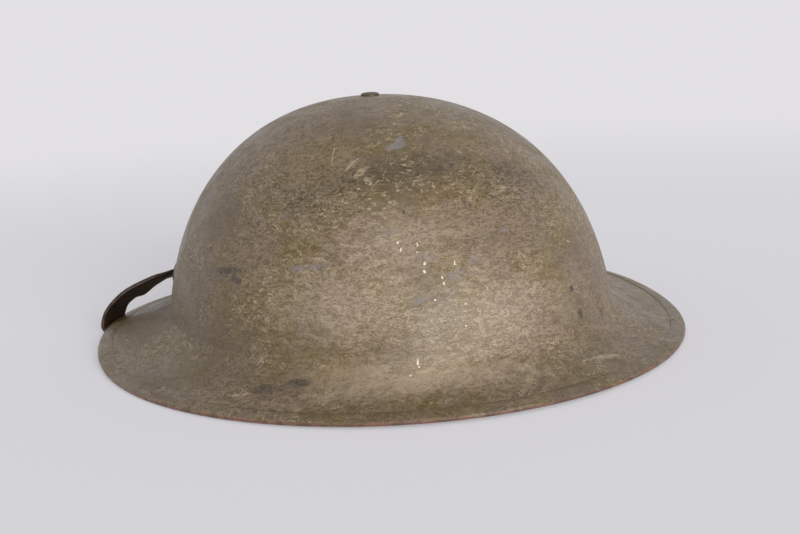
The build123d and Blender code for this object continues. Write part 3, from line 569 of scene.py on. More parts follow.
def twineMaterial(name, light, dark, twist):
    # Three-strand cotton twine: the strands wind round it, so shaded grooves run at a slant.
    material, tree = blank(name)
    parts = node(tree, "ShaderNodeSeparateXYZ", {0: alongCoords(tree)})
    strands = 3.0
    turn = calc(tree, "MULTIPLY_ADD", parts.outputs[0], strands / (twist * mm),
                calc(tree, "MULTIPLY", parts.outputs[1], strands))
    strand = calc(tree, "ABSOLUTE", calc(tree, "SINE", calc(tree, "MULTIPLY", turn, pi)))
    colour = mixed(tree, ramp(tree, strand, 0.0, 0.7), linear(dark), linear(light))
    stain = ramp(tree, noise(tree, objectCoords(tree), 16, 4, 0.6), 0.42, 0.70, 0.0, 0.7)
    colour = mixed(tree, stain, colour, linear(dark))
    shader = node(tree, "ShaderNodeBsdfPrincipled", {"Base Color": colour, "Roughness": 0.88, "IOR": 1.45,
                                                    "Sheen Weight": 0.2, "Sheen Roughness": 0.5})
    finish(tree, shader, [(strand, 0.25), (noise(tree, objectCoords(tree), 0.5, 2), 0.08)])
    return material


def feltMaterial():
    # Pressed wool felt: short fibres lying every way, with no sheen of its own but a soft nap.
    material, tree = blank("pressed wool felt")
    coords = objectCoords(tree)
    crossed = scaled(tree, coords, (1.3, 0.8, 1.1))
    fibres = calc(tree, "MAXIMUM", hair(tree, coords, 2.4, 0.05), hair(tree, crossed, 1.7, 0.05))
    patches = ramp(tree, noise(tree, coords, 9, 5, 0.7), 0.35, 0.68)
    colour = mixed(tree, patches, linear("6d6353"), linear("8b8170"))
    colour = mixed(tree, calc(tree, "MULTIPLY", fibres, 0.5), colour, linear("b0a58f"))
    shader = node(tree, "ShaderNodeBsdfPrincipled", {"Base Color": colour, "Roughness": 0.95, "IOR": 1.45,
                                                    "Sheen Weight": 0.45, "Sheen Roughness": 0.6})
    finish(tree, shader, [(fibres, 0.15), (noise(tree, coords, 1.2, 4, 0.7), 0.25)])
    return material


def rubberMaterial():
    # Red moulded rubber, perished: a chalky bloom over it and fine ring cracks.
    material, tree = blank("perished red rubber")
    coords = objectCoords(tree)
    patches = ramp(tree, noise(tree, coords, 6, 4), 0.35, 0.65)
    colour = mixed(tree, patches, linear("5c352a"), linear("6f4435"))
    bloom = ramp(tree, noise(tree, coords, 4, 5, 0.7), 0.50, 0.72, 0.0, 0.55)
    colour = mixed(tree, bloom, colour, linear("9a8478"))
    cracks = hair(tree, scaled(tree, coords, (1.0, 1.0, 3.0)), 5.0, 0.012)
    colour = mixed(tree, calc(tree, "MULTIPLY", cracks, 0.7), colour, linear("2c1a16"))
    shader = node(tree, "ShaderNodeBsdfPrincipled", {"Base Color": colour, "Roughness": 0.72, "IOR": 1.52})
    finish(tree, shader, [(cracks, -0.12), (noise(tree, coords, 1.0, 3), 0.05)])
    return material


def steelMaterial(name, tone, spot, roughness):
    # Drawn or stamped mild steel gone dull: a dark oxide skin with brown rust freckles.
    material, tree = blank(name)
    coords = objectCoords(tree)
    rust = ramp(tree, noise(tree, coords, 3.5, 5, 0.7), 0.50, 0.66)
    colour = mixed(tree, rust, linear(tone), linear(spot))
    rough = ramp(tree, rust, 0.0, 1.0, roughness, 0.8)
    metal = ramp(tree, rust, 0.0, 1.0, 1.0, 0.1)
    shader = node(tree, "ShaderNodeBsdfPrincipled", {"Base Color": colour, "Roughness": rough,
                                                    "Metallic": metal})
    scratch = hair(tree, scaled(tree, coords, (1.0, 3.0, 1.0)), 3.0, 0.02)
    finish(tree, shader, [(noise(tree, coords, 1.0, 4, 0.7), 0.04), (scratch, -0.02)])
    return material


shellPaint = paintMaterial("wrinkled olive drab paint on steel", 1.0, marked=True)
rimPaint = paintMaterial("olive drab paint worn to rust at the rim", 0.9, edge=True)
rivetPaint = paintMaterial("grimy olive drab paint on rivet heads", 0.5, grime=0.55)
strapLeather = leatherMaterial("oiled dark brown strap leather", "1f1511", "33231b", "4d3526", 0.44,
                               crease=2.2)
bandLeather = leatherMaterial("tan leather headband, sweat darkened", "4a3121", "6d4a30", "8a6544", 0.55,
                              half=13.8)
cottonTape = wovenMaterial("herringbone cotton tape", "a3936c", "8f7f5b", 1.5, herringbone=6.0)
oilcloth = wovenMaterial("black oiled cloth", "201e1c", "171615", 0.9, roughness=0.42, soilAndGapShade="2c2620",
                         depth=0.04)
netTwine = twineMaterial("laid cotton net twine", "b3a27c", "7a6747", 4.0)
laceTwine = twineMaterial("waxed draw lace", "8d7a58", "584630", 3.2)
linenThread = twineMaterial("waxed linen thread", "c0ae88", "8a7754", 1.4)
darkThread = twineMaterial("dark waxed thread", "54432f", "2e241a", 1.4)
woolFelt = feltMaterial()
redRubber = rubberMaterial()
dullSteel = steelMaterial("dull oxidised mild steel", "6a6762", "4d3528", 0.42)
wireSteel = steelMaterial("drawn steel wire, lightly rusted", "77736d", "54392b", 0.36)
print("materials made")


# The camera stands where the photograph was taken from.
camera = {"turn": 15.0, "height": 12.34, "roll": 3.13, "across": -5.443, "up": -28.233,
          "distance": 600.0, "focalPixels": 1165.25, "imagePixels": 800, "sensor": 36.0}


def viewRows():
    # Right, up and forward of the camera: the product of a roll, a tilt and a turn about upright.
    a, e, r = (radians(camera[name]) for name in ("turn", "height", "roll"))
    turn = np.array([[cos(a), -sin(a), 0], [sin(a), cos(a), 0], [0, 0, 1]])
    tilt = np.array([[1, 0, 0], [0, sin(e), cos(e)], [0, cos(e), -sin(e)]])
    roll = np.array([[cos(r), -sin(r), 0], [sin(r), cos(r), 0], [0, 0, 1]])
    return roll @ tilt @ turn


rows = viewRows()
eye = -rows.T @ np.array([camera["across"], camera["up"], camera["distance"]]) + (0, 0, edgeLevel)
lens = bpy.data.cameras.new("studio camera")
lens.sensor_width = camera["sensor"]
lens.lens = camera["focalPixels"] / camera["imagePixels"] * camera["sensor"]
studioCamera = bpy.data.objects.new("studio camera", lens)
bpy.context.scene.collection.objects.link(studioCamera)
studioCamera.matrix_world = Matrix.Translation(Vector(eye * mm)) @ Matrix(
    [rows[0].tolist(), rows[1].tolist(), (-rows[2]).tolist()]).transposed().to_4x4()
bpy.context.scene.camera = studioCamera

# The pressed shell: a closed ring of outer face, brim edge and inner face at each azimuth.
shellGrid = {"azimuths": 400, "domeSteps": 64, "neckSteps": 30}
azimuth = np.linspace(-90, 270, shellGrid["azimuths"], endpoint=False)
domeShare = np.linspace(0, 1, shellGrid["domeSteps"])
neckShare = np.linspace(0, 1, shellGrid["neckSteps"])[1:]


def sheetFace(depth):
    # The bowl's curve then the brim's, with a slow unevenness that fades at crown and foot.
    reach, rise = bezier(domeControl(azimuth, depth), domeShare)
    turn = np.radians(azimuth)[:, None]
    uneven = (np.sin(3 * turn + 1) * np.sin(5 * domeShare + 2)
              + np.sin(7 * turn) * np.sin(9 * domeShare) * 0.6)
    reach = reach + sheet["dent"] * uneven * np.sin(pi * domeShare) ** 2
    neck = bezier(neckControl(azimuth, depth), neckShare)
    return np.hstack([reach, neck[0]]), np.hstack([rise, neck[1]])


outer, inner = sheetFace(0), sheetFace(sheet["thickness"])
edge = edgeMiddle(azimuth)
tips = [moved(*edge, 90 - sheet["brimSlope"], half * sheet["thickness"]) for half in (0.5, -0.5)]
shellReach = np.hstack([outer[0], tips[0][0][:, None], tips[1][0][:, None], inner[0][:, ::-1]])
shellRise = np.hstack([outer[1], tips[0][1][:, None], tips[1][1][:, None], inner[1][:, ::-1]])
shellPoints = onCrownAxis(azimuth[:, None], shellReach, shellRise)
place(surface("pressed_shell", shellPoints), shellPaint, nodes=["shell"])
print("shell made")

# The folded band: two flanges and a rounded nose, one strip with its ends butted at the back.
# Its section goes out along the upper face, round the nose, back below and home inside the fold,
# each point a way back from the edge and a way up, tilted by the brim's slope.
butt = degrees(band["buttGap"] / 2 / sheet["brimHalfLength"])
bandAzimuth = np.linspace(90 + butt, 450 - butt, 420)
wrapped = (bandAzimuth + 90) % 360 - 90
near, far = sheet["thickness"] / 2 + band["gap"], bandNose
nose = np.radians(np.linspace(90, -90, 13))
lip = band["thickness"] / 2
lipTurn = np.radians(np.linspace(-90, 90, 5))
flangeRun = np.linspace(band["flange"] - lip, 0.4, 6)
lipBack = band["flange"] - lip + lip * np.cos(lipTurn)
backPart = np.concatenate([flangeRun, -far * np.cos(nose), flangeRun[::-1], lipBack, [0.0],
                           -near * np.cos(nose[::-1]), [0.0], lipBack])
upPart = np.concatenate([
    np.full(6, far), far * np.sin(nose), np.full(6, -far),
    -(near + far) / 2 + lip * np.sin(lipTurn), [-near], near * np.sin(nose[::-1]), [near],
    (near + far) / 2 + lip * np.sin(lipTurn)])
wear = np.concatenate([np.linspace(0.0, 0.35, 6), 0.45 + 0.35 * np.cos(nose), np.linspace(0.35, 0.1, 6),
                       np.full(5, 0.2), [0.0], np.zeros(13), [0.0], np.full(5, 0.25)])
slope = radians(sheet["brimSlope"])
thinned = np.interp(backPart, (band["flange"] - band["thinRun"], band["flange"]), (0.0, band["thinShare"]))
upPart = np.where(np.abs(upPart) > near, upPart + (np.sign(upPart) * near - upPart) * thinned, upPart)
middleReach, middleRise = edgeMiddle(wrapped)
ripple = 1 + band["ripple"] * np.sin(np.radians(wrapped * 9)) * np.sin(np.radians(wrapped * 4 + 40))
backGrid = backPart * np.where(backPart > 1, ripple[:, None], 1.0)
bandReach = middleReach[:, None] - backGrid * cos(slope) + upPart * sin(slope)
bandRise = middleRise[:, None] + backGrid * sin(slope) + upPart * cos(slope)
bandPoints = onCrownAxis(wrapped[:, None], bandReach, bandRise)
place(surface("folded_rim_band", bandPoints, wrapRows=False, caps=True, marks=wear), rimPaint,
      nodes=["rim_band"])
print("rim made")

# The liner, hung from the crown.
liner = {
    "padRadius": 22.0, "padThickness": 5.0, "padDome": 118.0, "seatGap": 0.1, "tapeWidth": 25.0,
    "tapeThickness": 1.6, "tapeReachShare": 0.52, "tapeWallRise": 72.0, "tapeEndRise": 27.0,
    "bandTop": 44.0, "outerHalfLength": 109.0, "outerHalfWidth": 95.0, "outerThickness": 1.2,
    "outerFoot": 20.0, "headHalfLength": 97.9, "headHalfWidth": 83.9, "headThickness": 1.5,
    "headFoot": 16.0, "buffers": 12, "bufferRadius": 4.75, "bufferBore": 2.5, "bufferLength": 22.0,
    "bufferCorner": 0.9, "softGap": 0.3, "padHole": 2.1, "padCorner": 1.6, "padDrop": 1.4, "padLift": 0.8,
    "boxLow": 29.0, "boxHigh": 41.0, "boxHalf": 9.5, "seamDrop": 3.2, "hem": 2.4, "threadInset": 0.02,
    "droop": 0.5,
}
# Spacing, length and thickness of each kind of stitch.
stitchSizes = {"tape": (2.4, 1.7, 0.6), "headTop": (3.2, 2.2, 0.6), "headInner": (3.2, 2.2, 0.5),
               "outerHem": (2.8, 1.9, 0.5), "loop": (1.8, 1.3, 0.5)}

# The felt pad: a disc domed like the crown, with rounded shoulders, turned round the crown's axis.
padTop = sheet["crownRise"] - sheet["thickness"] - liner["seatGap"]
padFlat = padTop - liner["padThickness"]
padRound = np.radians(np.linspace(0, 90, 6))
padShoulder = liner["padRadius"] - liner["padCorner"]
padReach = np.concatenate([np.linspace(liner["padHole"], padShoulder, 10),
                           padShoulder + liner["padCorner"] * np.sin(padRound)])
padRise = padTop - (liner["padDome"] - np.sqrt(liner["padDome"] ** 2 - padReach ** 2))
padRise[10:] = padRise[9] - liner["padDrop"] * (1 - np.cos(padRound)) - 0.1
underReach = padReach[::-1]
padUnder = np.stack([underReach, padFlat + liner["padLift"] * (underReach / liner["padRadius"]) ** 12], -1)
padProfile = np.concatenate([np.stack([padReach, np.maximum(padRise, padFlat + 1.0)], -1), padUnder])
padPoints = turned(padProfile, (sheet["crownOffset"], 0, edgeLevel), (0, 0, 1), 72)
pad = place(surface("crown_felt_disc", padPoints), woolFelt, nodes=["crown_felt_pad"])


def ellipseLine(halfWidth, halfLength, rise, turn):
    # Points of a level ellipse, half sizes times cosine and sine, and the way out at each.
    path = np.stack([halfWidth * np.cos(turn), halfLength * np.sin(turn), 0 * turn + edgeLevel + rise], -1)
    return path, unit(np.stack([np.cos(turn) / halfWidth, np.sin(turn) / halfLength, 0 * turn], -1))


def ringBand(name, halfWidth, halfLength, thickness, foot, top, material, cadNode, droop=0.0):
    # A strip on edge carried round an ellipse, with rounded edges. Its lower edge droops by the
    # product of two sines of the turn.
    turn = np.linspace(0, 2 * pi, 200, endpoint=False)
    half = thickness / 2
    path = ellipseLine(halfWidth - half, halfLength - half, (foot + top) / 2, turn)[0]
    outward = ellipseLine(halfWidth, halfLength, 0.0, turn)[1]
    upright = np.broadcast_to((0.0, 0.0, 1.0), path.shape)
    section = roundedSection(top - foot, thickness, thickness * 0.45, 4)
    points = carried(path, upright, outward, section)
    sag = droop * np.sin(turn * 6) * np.sin(turn * 5 + 1)
    points[..., 2] += np.where(section[:, 0] < 0, sag[:, None], 0)
    place(surface(name, points, uv=alongUv(path, section, True)), material, nodes=[cadNode])


ringBand("oilcloth_outer_band", liner["outerHalfWidth"], liner["outerHalfLength"],
         liner["outerThickness"], liner["outerFoot"], liner["bandTop"], oilcloth,
         "liner_outer_band")
ringBand("leather_headband", liner["headHalfWidth"], liner["headHalfLength"], liner["headThickness"],
         liner["headFoot"] + liner["droop"], liner["bandTop"], bandLeather,
         "liner_headband", liner["droop"])

# The rubber tubes, each a thin wall with rounded ends, stand between the two bands.
bufferHalfWidth = (liner["outerHalfWidth"] - liner["outerThickness"] + liner["headHalfWidth"]) / 2
bufferHalfLength = (liner["outerHalfLength"] - liner["outerThickness"] + liner["headHalfLength"]) / 2
wall = (liner["bufferRadius"] - liner["bufferBore"]) / 2
rim = np.radians(np.linspace(0, 180, 7))
tubeEnd = liner["bufferLength"] / 2 - liner["bufferCorner"] + liner["bufferCorner"] * np.sin(rim)
bufferProfile = np.concatenate([np.stack([liner["bufferBore"] + wall + wall * np.cos(rim), tubeEnd], -1),
                                np.stack([liner["bufferBore"] + wall - wall * np.cos(rim), -tubeEnd], -1)])
for number in range(liner["buffers"]):
    turn = 2 * pi * (number + 0.5) / liner["buffers"]
    origin = (bufferHalfWidth * cos(turn), bufferHalfLength * sin(turn),
              edgeLevel + (liner["outerFoot"] + liner["bandTop"]) / 2)
    points = turned(bufferProfile, origin, (0, 0, 1), 28)
    place(surface(f"rubber_tube_{number + 1:02d}", points, sharp=50), redRubber,
          nodes=[f"rubber_buffer_{number + 1:02d}"])


def stitches(name, path, face, kind, material=linenThread, body="helmet", lift=0.0):
    # Short threads laid end to end along a line: each a tube that dips into the work at its ends,
    # by the square of the way from its middle.
    spacing, length, thickness = stitchSizes[kind]
    far = lengthAlong(path)
    count = max(int(far[-1] / spacing), 1)
    share = np.linspace(-0.5, 0.5, 5)
    at = ((np.arange(count) + 0.5) * far[-1] / count)[:, None] + share * length
    line = np.stack([np.interp(at, far, path[:, i]) for i in range(3)], -1)
    out = unit(np.stack([np.interp(at, far, face[:, i]) for i in range(3)], -1))
    line = line + out * (thickness * (0.35 - 2.2 * share ** 2) + lift)[..., None]
    size = np.array([0.0, 0.9, 1.0, 0.9, 0.0])
    points = tube(line, out, thickness / 2, 6, size)
    place(surface(name, points, wrapRows=False, uv=roundUv(np.zeros(5), 6)), material, body)


# The two tapes cross under the pad, follow the crown and come down outside the outer band, where
# a box of stitches holds each end. Each is a strip carried along two mirrored curves.
tapes = (
    ("front_back", sheet["crownOffset"], (0, 1, 0), 0.0, liner["outerHalfLength"],
     padFlat - liner["seatGap"] - liner["tapeThickness"] / 2),
    ("side", 0.0, (1, 0, 0), sheet["crownOffset"], liner["outerHalfWidth"],
     padFlat - 2 * liner["seatGap"] - liner["tapeThickness"] * 1.5),
)
for name, originX, along, crownX, halfLength, crownLevel in tapes:
    end = halfLength + liner["seatGap"] + liner["tapeThickness"] / 2
    share = np.linspace(0, 1, 40)
    halves = []
    for side in (-1, 1):
        start = crownX + side * liner["tapeWidth"] / 2
        curve = bezier([(start, crownLevel), (crownX + side * liner["tapeReachShare"] * end, crownLevel),
                        (side * end, liner["tapeWallRise"]), (side * end, liner["bandTop"])], share)
        drop = np.linspace(liner["bandTop"], liner["tapeEndRise"], 10)[1:]
        halves.append((np.append(curve[0], np.full(9, side * end)), np.append(curve[1], drop)))
    flatRun = np.linspace(crownX - liner["tapeWidth"] / 2, crownX + liner["tapeWidth"] / 2, 8)[1:-1]
    far = np.concatenate([halves[0][0][::-1], flatRun, halves[1][0]])
    rise = np.concatenate([halves[0][1][::-1], np.full(6, crownLevel), halves[1][1]])
    along = np.array(along, float)
    path = np.array([originX, 0, edgeLevel]) + far[:, None] * along + rise[:, None] * (0, 0, 1.0)
    across = np.broadcast_to(np.cross((0, 0, 1.0), along), path.shape)
    ahead = unit(np.gradient(path, axis=0))
    through = unit(np.cross(across, ahead))
    section = roundedSection(liner["tapeWidth"], liner["tapeThickness"], 0.7, 3)
    points = carried(path, across, through, section)
    place(surface(f"{name}_cotton_tape", points, wrapRows=False, uv=alongUv(path, section), caps=True),
          cottonTape, nodes=[f"{name}_tape"])
    for side, endName in ((-1, "low"), (1, "high")):
        wayOut = side * along
        boxLow, boxHigh = liner["boxLow"], liner["boxHigh"]
        corners = np.array([(-1, boxLow), (-1, boxHigh), (1, boxLow), (1, boxHigh), (-1, boxLow),
                            (1, boxLow)])
        base = np.array([originX, 0, edgeLevel]) + wayOut * (end + liner["tapeThickness"] / 2)
        box = base + corners[:, :1] * liner["boxHalf"] * across[0] + corners[:, 1:] * (0, 0, 1.0)
        stitches(f"{name}_tape_stitches_{endName}", box, np.broadcast_to(wayOut, box.shape), "tape")

# The head net: two families of twines that wind up the dome either way, tied where they cross.
# Each is one dome curve turned round the crown by half a mesh a row, plus a small lay in and out.
net = {"thickness": 2.0, "foot": 37.0, "ringRise": 90.0, "ringRadius": 24.0, "crownPull": 31.0,
       "wallPull": 28.0, "rowShares": (0.0, 0.3, 0.55, 0.78, 1.0), "meshes": 20, "twine": 0.85,
       "hemShare": 0.12, "lay": 0.45, "knotHalf": (1.45, 1.45, 1.3), "lace": 1.4, "knot": 2.6,
       "laceWave": 0.15, "knotScale": 0.75, "knotTwine": 0.75, "tailTwine": 0.8, "tailLength": 9.0}
halfNet = net["thickness"] / 2
netHalfWidth = liner["headHalfWidth"] - liner["headThickness"] - liner["softGap"]
netHalfLength = liner["headHalfLength"] - liner["headThickness"] - liner["softGap"]
netStretch = np.array([1.0, netHalfLength / netHalfWidth, 1.0])
netControl = [(netHalfWidth - halfNet, liner["bandTop"]),
              (netHalfWidth - halfNet, liner["bandTop"] + net["wallPull"]),
              (net["ringRadius"] + net["crownPull"], net["ringRise"] - halfNet),
              (net["ringRadius"], net["ringRise"] - halfNet)]
climb = np.linspace(-net["hemShare"], 1, 42)   # below 0 the twine is sewn to the headband
netReach, netRise = bezier(netControl, np.clip(climb, 0, 1))
sewnDrop = climb / net["hemShare"] * (liner["bandTop"] - net["foot"] - halfNet)
netRise = np.where(climb < 0, liner["bandTop"] + sewnDrop, netRise)
step = np.interp(climb, net["rowShares"], range(len(net["rowShares"])))
first = np.arange(net["meshes"])[None, :, None]
way = np.array([0.5, -0.5])[:, None, None]
turn = 2 * pi / net["meshes"] * (first + way * step)
netPath = np.stack([netReach * np.cos(turn), netReach * np.sin(turn), netRise + 0 * turn + edgeLevel], -1)
netPath = netPath * netStretch
netOut = unit(np.stack([np.cos(turn), np.sin(turn), 0.35 + 0.9 * np.clip(climb, 0, 1) + 0 * turn], -1))
lay = net["lay"] * np.sin(2 * pi * step) * np.array([1, -1])[:, None, None]
netPath = (netPath + netOut * lay[..., None]).reshape(-1, len(climb), 3)
netOut = netOut.reshape(-1, len(climb), 3)
netSize = np.concatenate([[0.0, 0.9], np.ones(len(climb) - 4), [0.9, 0.0]])
netLength = lengthAlong(netPath).mean(0)
twines = tube(netPath, netOut, net["twine"], 7, netSize)
place(surface("head_net_twines", twines, wrapRows=False, uv=roundUv(netLength, 7)), netTwine,
      nodes=["head_net"])


def beads(centres, radii, rings=6, sides=9):
    # Small flattened balls: circles stacked between two poles, one grid a ball. A circle's radius
    # is the sine of the way down, and its height the cosine.
    down = np.linspace(0, pi, rings)[:, None]
    around = np.linspace(0, 2 * pi, sides, endpoint=False)[None]
    ball = np.stack([np.sin(down) * np.cos(around), np.sin(down) * np.sin(around),
                     np.cos(down) + 0 * around], -1)
    return centres[:, None, None, :] + ball * radii


knotTurn = np.concatenate([2 * pi / net["meshes"] * (np.arange(net["meshes"]) + 0.5 * row)
                           for row in (1, 2, 3)])
knotShare = np.repeat(net["rowShares"][1:4], net["meshes"])
knotReach, knotRise = bezier(netControl, knotShare)
knots = np.stack([knotReach * np.cos(knotTurn), knotReach * np.sin(knotTurn), knotRise + edgeLevel], -1)
place(surface("head_net_knots", beads(knots * netStretch, net["knotHalf"]), wrapRows=False,
              uv=roundUv(np.linspace(0, 4, 6), 9)), netTwine)

# The draw lace runs round the net's ring through its loops and is tied in a knot on one side.
laceTurn = np.linspace(0, 2 * pi, 120, endpoint=False)
laceReach = net["ringRadius"] - net["lace"] - liner["seatGap"]
lacePath = np.stack([laceReach * np.cos(laceTurn), laceReach * np.sin(laceTurn),
                     net["ringRise"] + edgeLevel + net["laceWave"] * np.sin(laceTurn * net["meshes"])], -1)
lacePath = lacePath * netStretch
upward = (0.0, 0.0, 1.0)
lacePoints = tube(lacePath, np.broadcast_to(upward, lacePath.shape), net["lace"], 10, closed=True)
place(surface("net_lace_ring", lacePoints, uv=roundUv(lengthAlong(lacePath, True), 10)), laceTwine,
      nodes=["net_draw_lace"])
# The knot is a trefoil: a circle gone round twice while it swings in, out, up and down three times.
knotMiddle = np.array([net["ringRadius"] - net["lace"] - net["knot"], 0, net["ringRise"] + edgeLevel])
wind = np.linspace(0, 2 * pi, 60, endpoint=False)
swing = 1.2 + 0.8 * np.cos(3 * wind)
knotPath = knotMiddle + net["knotScale"] * np.stack([swing * np.cos(2 * wind), swing * np.sin(2 * wind),
                                                     0.9 * np.sin(3 * wind)], -1)
knotGuide = np.broadcast_to((0.1, 0.2, 1.0), knotPath.shape)
knotPoints = tube(knotPath, knotGuide, net["knotTwine"], 8, closed=True)
place(surface("net_lace_knot", knotPoints, uv=roundUv(lengthAlong(knotPath, True), 8)), laceTwine)
# Its two tails are curves of three points each: the knot, a bend and an end.
tailShare = np.linspace(0, 1, 16)[None, :, None]
tailEnd = np.array([[-6.0, 5.0, -2.2], [-5.0, -6.5, -2.6]])[:, None]
tailBend = np.array([[-3.5, 1.0, 0.6], [-3.0, -1.0, 0.4]])[:, None]
tails = knotMiddle + 2 * tailShare * (1 - tailShare) * tailBend + tailShare ** 2 * tailEnd
tailSize = np.concatenate([[0.0], np.ones(13), [0.8, 0.0]])
tailPoints = tube(tails, np.broadcast_to(upward, tails.shape), net["tailTwine"], 8, tailSize)
place(surface("net_lace_tails", tailPoints, wrapRows=False,
              uv=roundUv(np.linspace(0, net["tailLength"], 16), 8)), laceTwine)

# Stitches that hold the net to the headband and hem the outer band.
seamTurn = np.linspace(0.0, 2 * pi, 200)
seamRise, inset = liner["bandTop"] - liner["seamDrop"], liner["threadInset"]
seamLine = ellipseLine(liner["headHalfWidth"] + inset, liner["headHalfLength"] + inset, seamRise, seamTurn)
stitches("headband_top_stitches", *seamLine, "headTop")
seamLine = ellipseLine(liner["headHalfWidth"] - liner["headThickness"],
                       liner["headHalfLength"] - liner["headThickness"], seamRise, seamTurn)
stitches("headband_inner_stitches", seamLine[0], -seamLine[1], "headInner", lift=-0.1)
seamLine = ellipseLine(liner["outerHalfWidth"] - inset, liner["outerHalfLength"] - inset,
                       liner["outerFoot"] + liner["hem"], seamTurn)
stitches("outer_band_stitches", *seamLine, "outerHem", darkThread)
print("liner made")

# The strap's lugs: the same seats as in the part's source.
lugs = {"azimuth": 162.0, "rise": 31.0, "turn": 15.0, "ringDrop": 10.5, "ringSeat": 0.8 + 2.6,
        "wire": 1.5, "bar": 26.0, "height": 14.0, "corner": 3.0, "tilt": 16.0}

# The strap. Its stations on the brim are rows of azimuth, share of the brim's width outward, rise
# as a share of the bowl's foot, the outer face's angle, and how far a cut follows the edge.
strap = {
    "width": 19.0, "thickness": 2.0, "sewn": 9.0, "pullOut": 66.0, "seatOut": 7.4, "seatRise": 15.4,
    "seatLean": 45.0, "barWidth": 3.0, "slotLength": 9.0, "slideThickness": 1.2, "slideMiddle": 2.0,
    "slideOut": 8.4, "slideRise": 16.6, "railWidth": 2.5, "leftRun": 24.0, "rightRun": 18.0,
    "sewnEnd": 20.0, "tailEnd": 24.0, "gap": 0.3, "corner": 0.55, "slotSide": 1.0, "softEdge": 0.35,
    "seamRow": 6.5, "seamDepth": 2.0, "seamIn": (4.6, 10.0), "slideSeamEnd": -14.5, "widest": 1.4,
    "under": ((158.4, 0.36, 0.34, -108.0, 0.8), (158.0, 0.53, 0.23, -107.0, 1.0),
              (157.6, 0.70, 0.085, -107.0, 1.0), (157.3, 0.87, -0.088, -107.0, 1.0)),
    "wrapAngles": (-95.0, -50.0, 0.0), "wrapAzimuth": 157.0,
    "over": ((156.8, 0.985, 0.37, 2.0, 1.0), (156.4, 0.94, 0.62, 14.0, 0.9), (155.5, 0.83, 0.87, 34.0, 0.6),
             (153.8, 0.66, 1.05, 52.0, 0.3), (151.4, 0.47, 1.13, 60.0, 0.1), (148.4, 0.32, 1.09, 54.0, 0.0),
             (144.0, 0.265, 1.00, 48.0, 0.0), (139.0, 0.240, 0.97, 45.0, 0.0)),
    "seatAzimuths": (133.0, 125.0, 117.0), "cuts": 8,
    # From the rim on, the stiff leather arches up off the brim, and rolls as it turns along the
    # neck: one value for each station from the first turn round the edge.
    "springIn": (0.0, 0.0, 0.0, 0.0, 1.2, 1.6, 1.3, 0.5, 0.2, 0.0, 0.0, 0.0, 0.0),
    "springUp": (0.0, 0.0, 0.0, 0.0, 0.0, 0.0, 0.2, 2.3, 4.7, 6.7, 6.6, 4.3, 1.5),
    "roll": (0.0, 10.7, 16.2, 17.5, 15.4, 12.7, 15.4, 10.1, -5.6, -17.4, -18.2, -9.0, -3.0),
    "bendStation": 17,   # here the sewn end, which bends with the bail, meets the run that stays
}


def wallMark(azimuth, rise, depth):
    # Reach and lean of the bowl's inner wall at a rise, from a close row of points on its curve.
    share = np.linspace(0, 1, 8001)
    reach, height = (part[0] for part in bezier(domeControl(np.array([azimuth]), depth), share))
    here = np.interp(-rise, -height, share)
    pair = (here, here - 0.01)   # the lean is that of the line between the two
    at, up = np.interp(pair, share, reach), np.interp(pair, share, height)
    return at[0], degrees(atan2(at[0] - at[1], up[1] - up[0]))


def lug(side):
    # Directions at one lug: inward from the wall, up along the bracket, the bail's and strap's ways.
    azimuth = lugs["azimuth"] if side < 0 else 180 - lugs["azimuth"]
    reach, lean = wallMark(azimuth, lugs["rise"], sheet["thickness"])
    x = sheet["crownOffset"] + reach * cos(radians(azimuth))
    y = reach * sin(radians(azimuth))
    out = unit(np.array([x / sheet["bowlHalfWidth"] ** 2, y / sheet["bowlHalfLength"] ** 2, 0]))
    back = np.array([-side * out[1], side * out[0], 0])
    rise = np.array([0, 0, 1.0])
    inward = -out * cos(radians(lean)) - rise * sin(radians(lean))
    wallUp = rise * cos(radians(lean)) - out * sin(radians(lean))
    up = wallUp * cos(radians(lugs["turn"])) - back * sin(radians(lugs["turn"]))
    origin = np.array([x, y, edgeLevel + lugs["rise"]])
    hinge = origin - up * lugs["ringDrop"] + inward * lugs["ringSeat"]
    tilt, pull = radians(lugs["tilt"]), radians(strap["pullOut"])
    hang = inward * sin(tilt) - up * cos(tilt)
    return {"inward": inward, "up": up, "across": np.cross(up, inward), "hinge": hinge, "hang": hang,
            "bar": hinge + hang * lugs["height"], "pull": -inward * sin(pull) - up * cos(pull),
            "face": inward * cos(pull) - up * sin(pull)}


def wireLoop(middle, across, down, half, height, corner, steps=8):
    # A rounded rectangle: four quarter circles of points, whose ends the straight sides join.
    corners = (((half - corner, height - corner), 0), ((-half + corner, height - corner), 90),
               ((-half + corner, corner), 180), ((half - corner, corner), 270))
    flat = np.concatenate([arc(centre, corner, start, start + 90, steps) for centre, start in corners])
    return middle + flat[:, :1] * across + flat[:, 1:] * down


for side, name in ((-1, "left"), (1, "right")):
    seat = lug(side)
    loop = wireLoop(seat["hinge"], seat["across"], seat["hang"], lugs["bar"] / 2, lugs["height"],
                    lugs["corner"])
    guide = np.broadcast_to(np.cross(seat["across"], seat["hang"]), loop.shape)
    place(surface(f"{name}_bail_wire", tube(loop, guide, lugs["wire"], 16, closed=True)), wireSteel,
          f"{name}_bail", [f"{name}_bail"])


def between(rowsOf, at):
    # A smooth value between rows, led by their neighbours (a Catmull-Rom cubic).
    last = len(rowsOf) - 1
    index = np.minimum(np.floor(at).astype(int), last)
    share = (at - index)[:, None]
    before, here = rowsOf[np.maximum(index - 1, 0)], rowsOf[index]
    after, beyond = rowsOf[np.minimum(index + 1, last)], rowsOf[np.minimum(index + 2, last)]
    cubic = (here - after) * 3 + beyond - before
    square = before * 2 - here * 5 + after * 4 - beyond
    return here + ((after - before) + (square + cubic * share) * share) * (share / 2)


